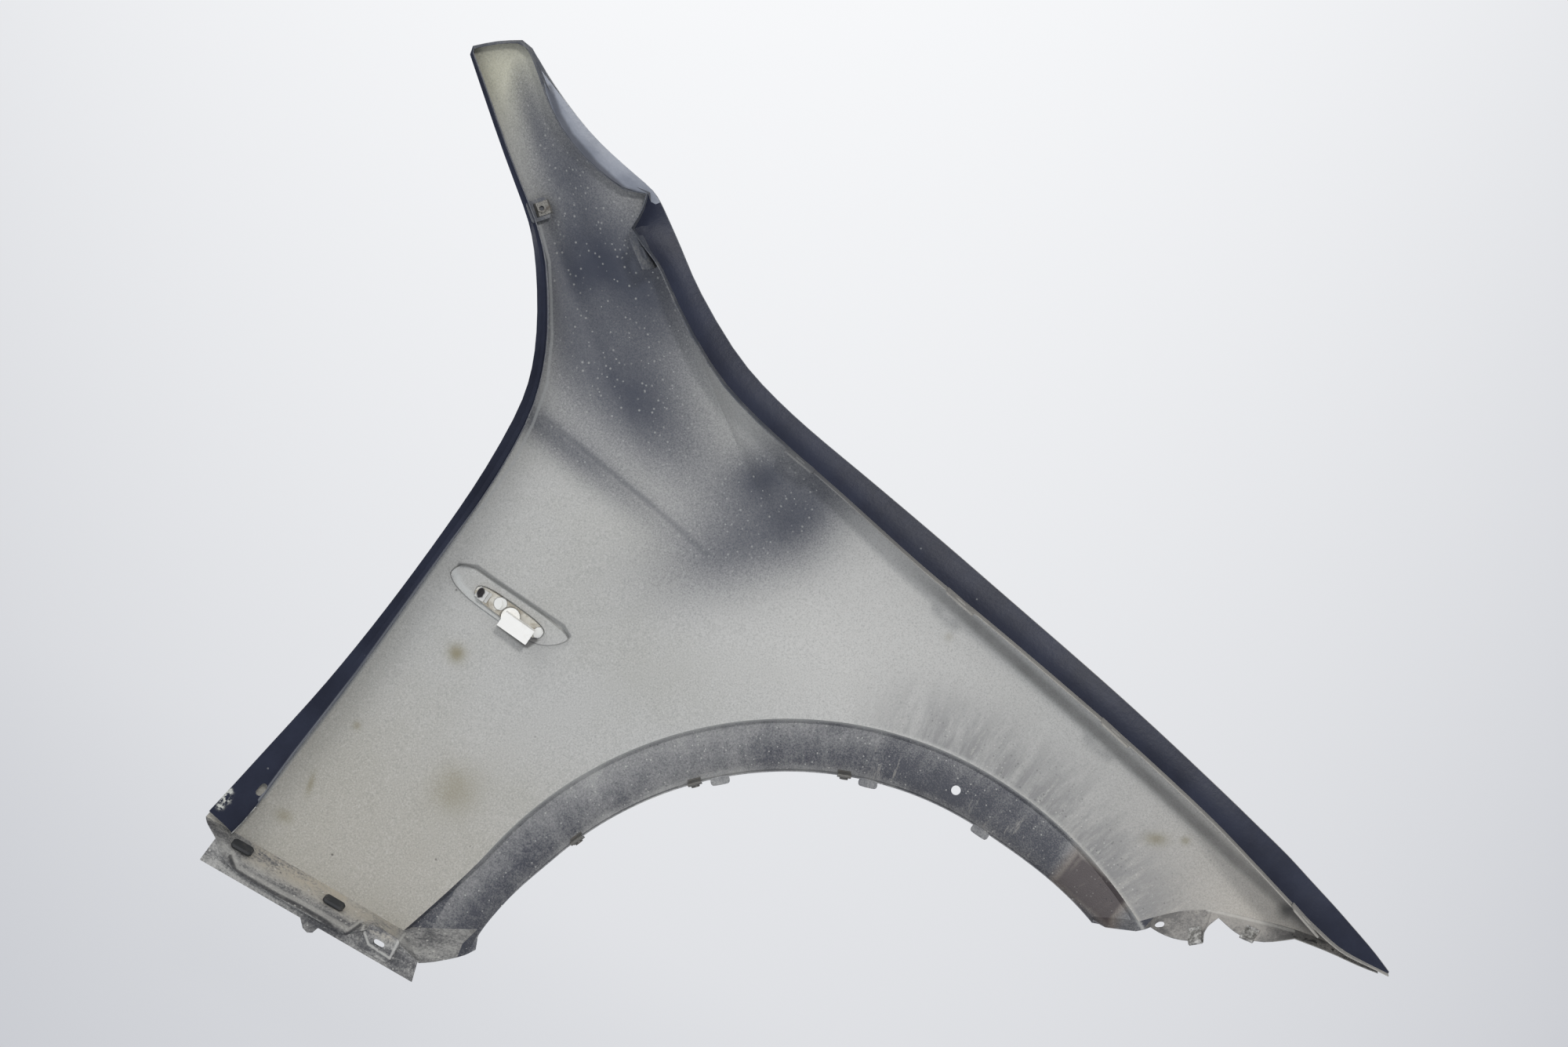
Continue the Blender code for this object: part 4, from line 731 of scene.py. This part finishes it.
def nose_dust():
    coat = Finish("nose_grit")
    run = round_wheel(coat)[2]
    fine = coat.noise(*FINE_GRIT)
    broad = coat.noise(22.0, 5.0, 0.65)
    amount = broad * (1 - NOSE_STREAKS) + run * NOSE_STREAKS + (fine - 0.5) * 0.35
    grit = amount.step(0.62 - NOSE_SHARE * 0.35, 0.86 - NOSE_SHARE * 0.35)
    dark, pale = NOSE_TONES
    colour = coat.blend(broad.step(0.3, 0.7), linear(*dark), linear(*[level + 18 for level in dark]))
    colour = coat.lay(colour, grit, pale, 0.85)
    colour = coat.lay(colour, coat.dots(150.0, 0.13, 0.22), (196, 194, 188), 0.45)
    colour = coat.lay(colour, coat.strokes(NOSE_RIDGE, 0.0022, 0.6), (222, 219, 212), 0.6)
    dark_edge = coat.strokes(NOSE_EDGE, 0.0045, 0.7)
    ring = coat.patch(seen(*NOSE_HOLE), 0.0085, 0.0065, 0.2, 3.0)
    colour = coat.lay(colour, dark_edge * 0.75 + ring * 0.5, (58, 58, 58))
    strip = coat.strokes(NOSE_STRIP, 0.0020, 0.6) * coat.noise(260.0, 1.0).step(0.52, 0.60)
    colour = coat.lay(colour, strip, (44, 44, 46), 0.8)
    # painted shadow in the wedge beside the bonnet lip
    colour = coat.lay(colour, coat.strokes(NOSE_WEDGE_SHADOW, 0.006, 0.8), (46, 46, 48), 0.8)
    return coat.close(colour, roughness=grit * 0.4 + 0.42, bump=fine * 0.5 + grit * 0.5, bump_height=0.0007)


PANEL_FINISHES["nose_grit"] = nose_dust()

# %% [markdown]
# The sill end is the dirtiest place. Sand lies in its fold, grey grit on its flange, and the strip under
# it is bare and dark. A painted highlight and a painted shadow side by side stand for the rim of the plate
# that is welded on there, and a painted highlight traces the rim of the tab in front.

# %% Sill end
SILL_TONES = (82, 82, 84), (178, 176, 171)
SILL_FOLD = (
    # start, end, width, strength
    ((325, 1086), (436, 1146), 0.013, 1.0),
    ((440, 1156), (500, 1190), 0.010, 0.7),
)
SILL_STRIP = (262, 1096), (540, 1256)
SILL_RIM = ((293, 1092), (300, 1110), (326, 1126), (353, 1141), (384, 1157), (415, 1175), (441, 1191),
            (458, 1180))
RIM_HIGHLIGHT_SHIFT = (3, -5)
SILL_TAB_HIGHLIGHT = ((463, 1182), (470, 1204), (497, 1222), (508, 1200))


def sill_dirt():
    coat = Finish("sill_grit")
    fine = coat.noise(420.0, 3.0, 0.8)
    broad = coat.noise(26.0, 5.0, 0.7)
    smear = coat.noise(30.0, 5.0, 0.7, stretch=(0.3, 1.0, 1.6))
    amount = smear * 0.6 + broad * 0.4 + (fine - 0.5) * 0.45
    colour = coat.blend(amount.step(0.34, 0.66), *(linear(*tone) for tone in SILL_TONES))
    sand = coat.most(*(coat.line(seen(*start), seen(*end), width, 0.95) * strength
                       for start, end, width, strength in SILL_FOLD))
    colour = coat.lay(colour, sand * amount.step(0.42, 0.60), (186, 176, 158), 0.85)
    under = coat.strokes(SILL_STRIP, 0.020, 0.5)
    colour = coat.lay(colour, under * amount.step(0.62, 0.40), (66, 66, 70), 0.55)
    # painted highlight just beside the plate's rim
    rim_highlight = [(across + RIM_HIGHLIGHT_SHIFT[0], down + RIM_HIGHLIGHT_SHIFT[1]) for across, down in SILL_RIM]
    colour = coat.lay(colour, coat.strokes(rim_highlight, 0.0030, 0.6), (196, 193, 186), 0.5)
    # painted shadow along the plate's rim
    colour = coat.lay(colour, coat.strokes(SILL_RIM, 0.0026, 0.6), (52, 52, 54), 0.75)
    # painted highlight round the tab's rim
    colour = coat.lay(colour, coat.strokes(SILL_TAB_HIGHLIGHT, 0.0022, 0.6), (198, 196, 190), 0.7)
    colour = coat.lay(colour, coat.dots(170.0, 0.17, 0.40), (212, 209, 202), 0.6)
    colour = coat.lay(colour, coat.dots(140.0, 0.15, 0.30), (48, 48, 50), 0.5)
    return coat.close(colour, roughness=0.75, bump=fine * 0.5 + amount, bump_height=0.0008)


PANEL_FINISHES["sill_grit"] = sill_dirt()

# %% [markdown]
# The band round the arch has overspray that is paler towards the flare and the lip and darkest in front.
# Dust lies on it in streaks, splashes cross its front part, a painted highlight runs along the flare's
# ridge, and a brown pad is stuck on its front end.

# %% Arch band
BAND_TONES = (66, 68, 77), (176, 175, 172)
BAND_FRONT = (-0.42, -0.28)
PAD = (1379, 1121), (1407, 1144)
PAD_EDGE = (1377, 1118), (1410, 1145)
PAD_TONE, PAD_EDGE_TONE = (82, 75, 76), (158, 144, 128)


def wheel_band():
    coat = Finish("arch_band")
    far, turn, run = round_wheel(coat)
    fine = coat.noise(700.0, 3.0, 0.8)
    broad = coat.noise(20.0, 5.0, 0.65)
    out = (far - LIP_AT) * (1 / (FLARE_AT - LIP_AT))
    front = turn.step(*BAND_FRONT)
    dust = out.step(0.35, 1.0) * out.step(1.06, 1.02) * 0.32 + out.step(0.16, 0.0) * 0.30 + 0.20
    dust = dust + turn.step(-0.50, -0.90) * 0.16 - front * 0.12 - turn.step(-1.15, -1.40) * 0.24
    dust = dust + (broad - 0.5) * 1.1 + (run - 0.5) * 0.6 + (fine - 0.5) * 1.5
    colour = coat.blend(dust.clip(), *(linear(*tone) for tone in BAND_TONES))
    splash = run.step(0.60, 0.66) * front * out.step(0.75, 0.55)
    colour = coat.lay(colour, splash, (168, 164, 156), 0.55)
    # painted highlight along the flare's ridge
    ridge_highlight = out.step(0.93, 0.99) * out.step(1.04, 1.0) * turn.step(-1.42, -1.30)
    colour = coat.lay(colour, ridge_highlight, (186, 186, 182), 0.7)
    pad = coat.line(*(seen(*point) for point in PAD), 0.032, 0.15, square=True)
    pad_edge = coat.line(*(seen(*point) for point in PAD_EDGE), 0.037, 0.4, square=True)
    colour = coat.lay(colour, pad_edge, PAD_EDGE_TONE, 0.5)
    colour = coat.lay(colour, pad * (run.step(0.66, 0.54) * 0.35 + 0.57), PAD_TONE)
    colour = coat.lay(colour, coat.dots(230.0, 0.16, 0.45) * (0.6 - pad * 0.4), (210, 208, 202))
    colour = coat.lay(colour, coat.dots(190.0, 0.16, 0.35), (54, 56, 62), 0.5)
    return coat.close(colour, roughness=dust * 0.3 + 0.42, bump=fine, bump_height=0.0005)


PANEL_FINISHES["arch_band"] = wheel_band()

# %% [markdown]
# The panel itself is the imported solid, copied and finished. The copy's loose triangles are merged and
# joined to quads again, its folds are kept sharp with creases, and a subdivision surface rounds the
# broad skin between them. Each face then gets the coat that its side of the sheet has: a fill spreads
# from a seed face until it meets a fold.

# %% Panel skin
FOLD = radians(24)
FLANGE_UP = 0.28
ANY_WAY = -1.0
WELD = 0.00002
FLAT, SQUARE = radians(16), radians(70)
COATS = ("top_coat_outside", "primer_inside", "bonnet_wall", "dusty_edge", "arch_band", "sill_grit",
         "nose_grit", "cowl_flange_reflection")


def merged_copy(node_name):
    """A copy of a solid, with its doubles merged and its triangles joined to quads."""
    bm = bmesh.new()
    bm.from_mesh(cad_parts[node_name].data)
    bmesh.ops.remove_doubles(bm, verts=bm.verts, dist=WELD)
    bmesh.ops.join_triangles(bm, faces=bm.faces, angle_face_threshold=FLAT, angle_shape_threshold=SQUARE)
    bm.faces.ensure_lookup_table()
    return bm


def spread(seed, coat, least_up):
    """Gives one coat to all faces that the seed reaches without crossing a fold or turning down too far."""
    seed.material_index = coat
    waiting, done = [seed], {seed}
    while waiting:
        face = waiting.pop()
        for edge in face.edges:
            if len(edge.link_faces) != 2 or edge.calc_face_angle() > FOLD:
                continue
            for other in edge.link_faces:
                if other not in done and other.normal.z > least_up:
                    done.add(other)
                    other.material_index = coat
                    waiting.append(other)
    return len(done)


def new_piece(name, bm, materials):
    """Makes an object of a bmesh, with its place in its mesh."""
    mesh = bpy.data.meshes.new(name)
    bm.to_mesh(mesh)
    bm.free()
    piece = bpy.data.objects.new(name, mesh)
    bpy.context.scene.collection.objects.link(piece)
    for material in materials:
        mesh.materials.append(material)
    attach(piece, "root")
    return piece


bm = merged_copy("fender_panel")
print("panel faces", len(bm.faces), "quads", sum(len(f.verts) == 4 for f in bm.faces))
tree = BVHTree.FromBMesh(bm)
SEEDS = (
    # across, down, coat
    (900, 820, "primer_inside"),
    (584, 740, "primer_inside"),
    (600, 733, "primer_inside"),
    (712, 812, "primer_inside"),
    (1000, 950, "arch_band"),
    (1000, 919, "arch_band"),
    (1300, 790, "bonnet_wall"),
    (738, 178, "bonnet_wall"),
    (474, 800, "bonnet_wall"),
    (487, 800, "bonnet_wall"),
    (615, 110, "bonnet_wall"),
    (416, 1140, "sill_grit"),
    (393, 1180, "sill_grit"),
    (1500, 1180, "nose_grit"),
    (1620, 1190, "nose_grit"),
    (1720, 1225, "nose_grit"),
)


def behind(across, down):
    """The face of the copy behind a picture point, or None beside it."""
    number = tree.ray_cast(eye, sight(across, down))[2]
    return None if number is None else bm.faces[number]


for across, down, coat_name in SEEDS:
    seed = behind(across, down)
    least_up = FLANGE_UP if coat_name == "nose_grit" else ANY_WAY
    count = spread(seed, COATS.index(coat_name), least_up) if seed else 0
    print(coat_name, (across, down), "faces", count)

# %% [markdown]
# The lips along the bonnet and the door are narrow and pale with dust. A walk across the picture from the
# panel's edge to its skin passes the wall first and then the lip, so what lies between those two is lip.

# %% Lips of the folded edges
LIP_WALKS = (
    # first walk and last walk, each from the panel's edge into the skin, and how many lie between
    ((880, 330), (845, 350), (975, 475), (905, 500), 14),
    ((975, 475), (905, 500), (1200, 680), (1150, 740), 22),
    ((1200, 680), (1150, 740), (1560, 1000), (1500, 1060), 34),
    ((1560, 1000), (1500, 1060), (1735, 1185), (1660, 1205), 20),
    ((680, 350), (720, 350), (690, 480), (720, 490), 10),
    ((690, 480), (720, 490), (470, 800), (530, 810), 26),
    ((470, 800), (530, 810), (300, 1000), (380, 1010), 20),
    ((600, 95), (630, 85), (680, 330), (710, 330), 20),
    ((694, 85), (680, 110), (800, 205), (780, 250), 14),
)
WALK_STEPS = 160
wall_coat, skin_coat, lip_coat = (COATS.index(n) for n in ("bonnet_wall", "primer_inside", "dusty_edge"))


def walk(start, end):
    """The faces met on the way from one picture point to another."""
    met = []
    for step in range(WALK_STEPS + 1):
        share = step / WALK_STEPS
        face = behind(start[0] + (end[0] - start[0]) * share, start[1] + (end[1] - start[1]) * share)
        if face is not None and face not in met:
            met.append(face)
    return met


lips = set()
for first_start, first_end, last_start, last_end, count in LIP_WALKS:
    for step in range(count + 1):
        start = Vector(first_start).lerp(Vector(last_start), step / count)
        end = Vector(first_end).lerp(Vector(last_end), step / count)
        met = walk(start, end)
        walls = [k for k, face in enumerate(met) if face.material_index == wall_coat]
        if walls:
            for face in met[walls[-1] + 1:]:
                if face.material_index == skin_coat:
                    break
                lips.add(face)
for face in lips:
    face.material_index = lip_coat
print("lip faces", len(lips))

# %% [markdown]
# Tabs, pads and narrow edges that the fills didn't reach still count as outside. Those that look inboard
# take the coat of what they stand on.

# %% Coats of tabs and edges
LAMP = Vector((-0.343, 0.0, -0.2155))
LAMP_REACH = 0.070
LEAST_FACING = 0.10
COWL_LEFT, COWL_FOOT = 692, 256
SILL_FRONT, SILL_TOP = -0.22, -0.46
BAND_EDGE = 0.004
NOSE_BACK, NOSE_REACH = 0.24, 0.10


def nearby_coat(middle):
    """The coat of what lies beside a face."""
    in_side_view = Vector((middle.x, 0.0, middle.z))
    if (in_side_view - LAMP).length < LAMP_REACH:
        return "primer_inside"
    from_wheel = (in_side_view - WHEEL).length
    if middle.x < SILL_FRONT and middle.z < SILL_TOP:
        return "sill_grit"
    if from_wheel < FLARE_AT + BAND_EDGE:
        return "arch_band"
    if middle.x > NOSE_BACK and from_wheel < FLARE_AT + NOSE_REACH:
        return "nose_grit"
    return "dusty_edge"


for face in bm.faces:
    middle = face.calc_center_median()
    if face.material_index == 0 and face.normal.dot((eye - middle).normalized()) > LEAST_FACING:
        face.material_index = COATS.index(nearby_coat(middle))
    across, down = in_picture(middle)
    # faces of the cowl flange take its painted reflection
    if face.material_index == wall_coat and across > COWL_LEFT and down < COWL_FOOT:
        face.material_index = COATS.index("cowl_flange_reflection")
print("coats:", {name: sum(f.material_index == k for f in bm.faces) for k, name in enumerate(COATS)})

# %% [markdown]
# Every edge at a fold stays sharp under the subdivision surface. All other edges are rounded and shaded
# smooth.

# %% Folds and the finished panel
crease =bm.edges.layers.float.new("crease_edge")
for edge in bm.edges:
    sharp = len(edge.link_faces) != 2 or edge.calc_face_angle() > FOLD
    edge[crease] = 1.0 if sharp else 0.0
    edge.smooth = not sharp
for face in bm.faces:
    face.smooth = True
panel = new_piece("fender_skin", bm, [PANEL_FINISHES[name] for name in COATS])
rounding = panel.modifiers.new("rounding", "SUBSURF")
rounding.levels = rounding.render_levels = 1
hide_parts("fender_panel")

# %% [markdown]
# The small pieces keep their solids. Each gets a finish of its own material: moulded plastic, spring
# steel, zinc, brass and rubber.

# %% Finishes of the small pieces
def moulded(name, tone, dirt_tone, dirt, rough=0.45):
    """Moulded plastic or rubber, with dirt in patches."""
    coat = Finish(name)
    broad = coat.noise(90.0, 4.0, 0.6)
    fine = coat.noise(900.0, 2.0, 0.6)
    mask = broad.step(0.50, 0.78) * dirt
    colour = coat.lay(linear(*tone), mask, dirt_tone)
    return coat.close(colour, roughness=mask * 0.3 + rough, bump=fine, bump_height=0.0001)


def spring_steel():
    """Bare steel that has begun to rust."""
    coat = Finish("spring_steel_dull")
    brushed = coat.noise(300.0, 4.0, 0.6, stretch=(1.0, 1.0, 6.0))
    rust = coat.noise(140.0, 5.0, 0.7).step(0.50, 0.68)
    colour = coat.blend(brushed, linear(88, 87, 84), linear(126, 124, 119))
    colour = coat.lay(colour, rust, (84, 70, 56), 0.5)
    return coat.close(colour, roughness=rust * 0.3 + 0.42, metallic=0.75 - rust * 0.5, bump=brushed,
                      bump_height=0.0002)


def bright_clip():
    """The clips on the nose kept their zinc: bright edges and dust between them."""
    coat = Finish("zinc_clip")
    brushed = coat.noise(260.0, 4.0, 0.65)
    dirt = coat.noise(150.0, 4.0, 0.7).step(0.48, 0.66)
    colour = coat.blend(brushed.step(0.35, 0.65), linear(118, 116, 112), linear(206, 204, 198))
    colour = coat.lay(colour, dirt, (84, 81, 76), 0.8)
    return coat.close(colour, roughness=0.45, metallic=0.25, bump=brushed, bump_height=0.0004)


def clear_plastic():
    """Clear plastic that has gone cloudy."""
    coat = Finish("dulled_lens")
    cloud = coat.noise(60.0, 4.0, 0.6)
    colour = coat.blend(cloud.step(0.4, 0.7), linear(205, 207, 204), linear(176, 176, 168))
    return coat.close(colour, roughness=cloud * 0.2 + 0.25, bump=cloud, bump_height=0.0003)


BOSSES, BOSS_RADIUS = ((688, 808), (638, 770)), 0.0062
TOWER, TOWER_RADIUS = (650, 787), 0.0088
CATCH = (613, 756)


def lamp_body():
    """The lamp's body with its two round bosses, which stayed cleaner than the rest."""
    coat = Finish("dusty_plastic")
    broad = coat.noise(90.0, 4.0, 0.6)
    colour = coat.blend(broad.step(0.40, 0.66), linear(214, 210, 199), linear(168, 159, 141))
    for boss in BOSSES:
        far = coat.away_from(seen(*boss))
        colour = coat.lay(colour, far.step(BOSS_RADIUS, BOSS_RADIUS * 0.93), (236, 235, 230))
        groove = far.step(BOSS_RADIUS * 1.12, BOSS_RADIUS * 1.02) * far.step(BOSS_RADIUS * 0.9, BOSS_RADIUS)
        colour = coat.lay(colour, groove, (96, 94, 90), 0.6)
    from_ring = (coat.away_from(seen(*TOWER)) - TOWER_RADIUS).math("ABSOLUTE")
    colour = coat.lay(colour, from_ring.step(0.0016, 0.0006), (88, 84, 76), 0.7)
    return coat.close(colour, roughness=broad * 0.2 + 0.40, bump=broad, bump_height=0.0002)


def catch_steel():
    """The catch is bright round its edges, with painted shade in its hollow."""
    coat = Finish("catch_steel")
    far = coat.away_from(seen(*CATCH), stretch=1.7)
    streak = coat.noise(260.0, 3.0, 0.6)
    frame_side = (far + (streak - 0.5) * 0.003).step(0.0042, 0.0058)
    # painted shade in the hollow, the steel's own tone round it
    colour = coat.blend(frame_side, linear(50, 47, 48), linear(218, 217, 212))
    return coat.close(colour, roughness=0.28, metallic=0.55, bump=streak, bump_height=0.0003)


white_plastic = moulded("white_plastic", (250, 248, 242), (206, 198, 182), dirt=0.45)
steel = spring_steel()
soft_black = moulded("black_rubber", (44, 45, 47), (110, 106, 98), dirt=0.6, rough=0.7)
brass = moulded("brass_tag", (176, 148, 84), (96, 80, 50), dirt=0.5, rough=0.3)
clear, zinc = clear_plastic(), bright_clip()
LOOKS = {
    "lamp_lens": clear, "lamp_bulb": clear, "lamp_gasket": soft_black, "lamp_housing": lamp_body(),
    "bulb_holder": white_plastic, "lamp_catch": catch_steel(), "terminal_live": brass, "terminal_earth": brass,
    "sill_buffer_1": soft_black, "sill_buffer_2": soft_black, "nose_nut_1": zinc, "nose_nut_2": zinc,
}
for name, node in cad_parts.items():
    if name == "fender_panel":
        continue
    material = LOOKS.get(name, steel)
    node.data.materials.clear()
    node.data.materials.append(material)
print("solids with new finishes:", len(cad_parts) - 1)
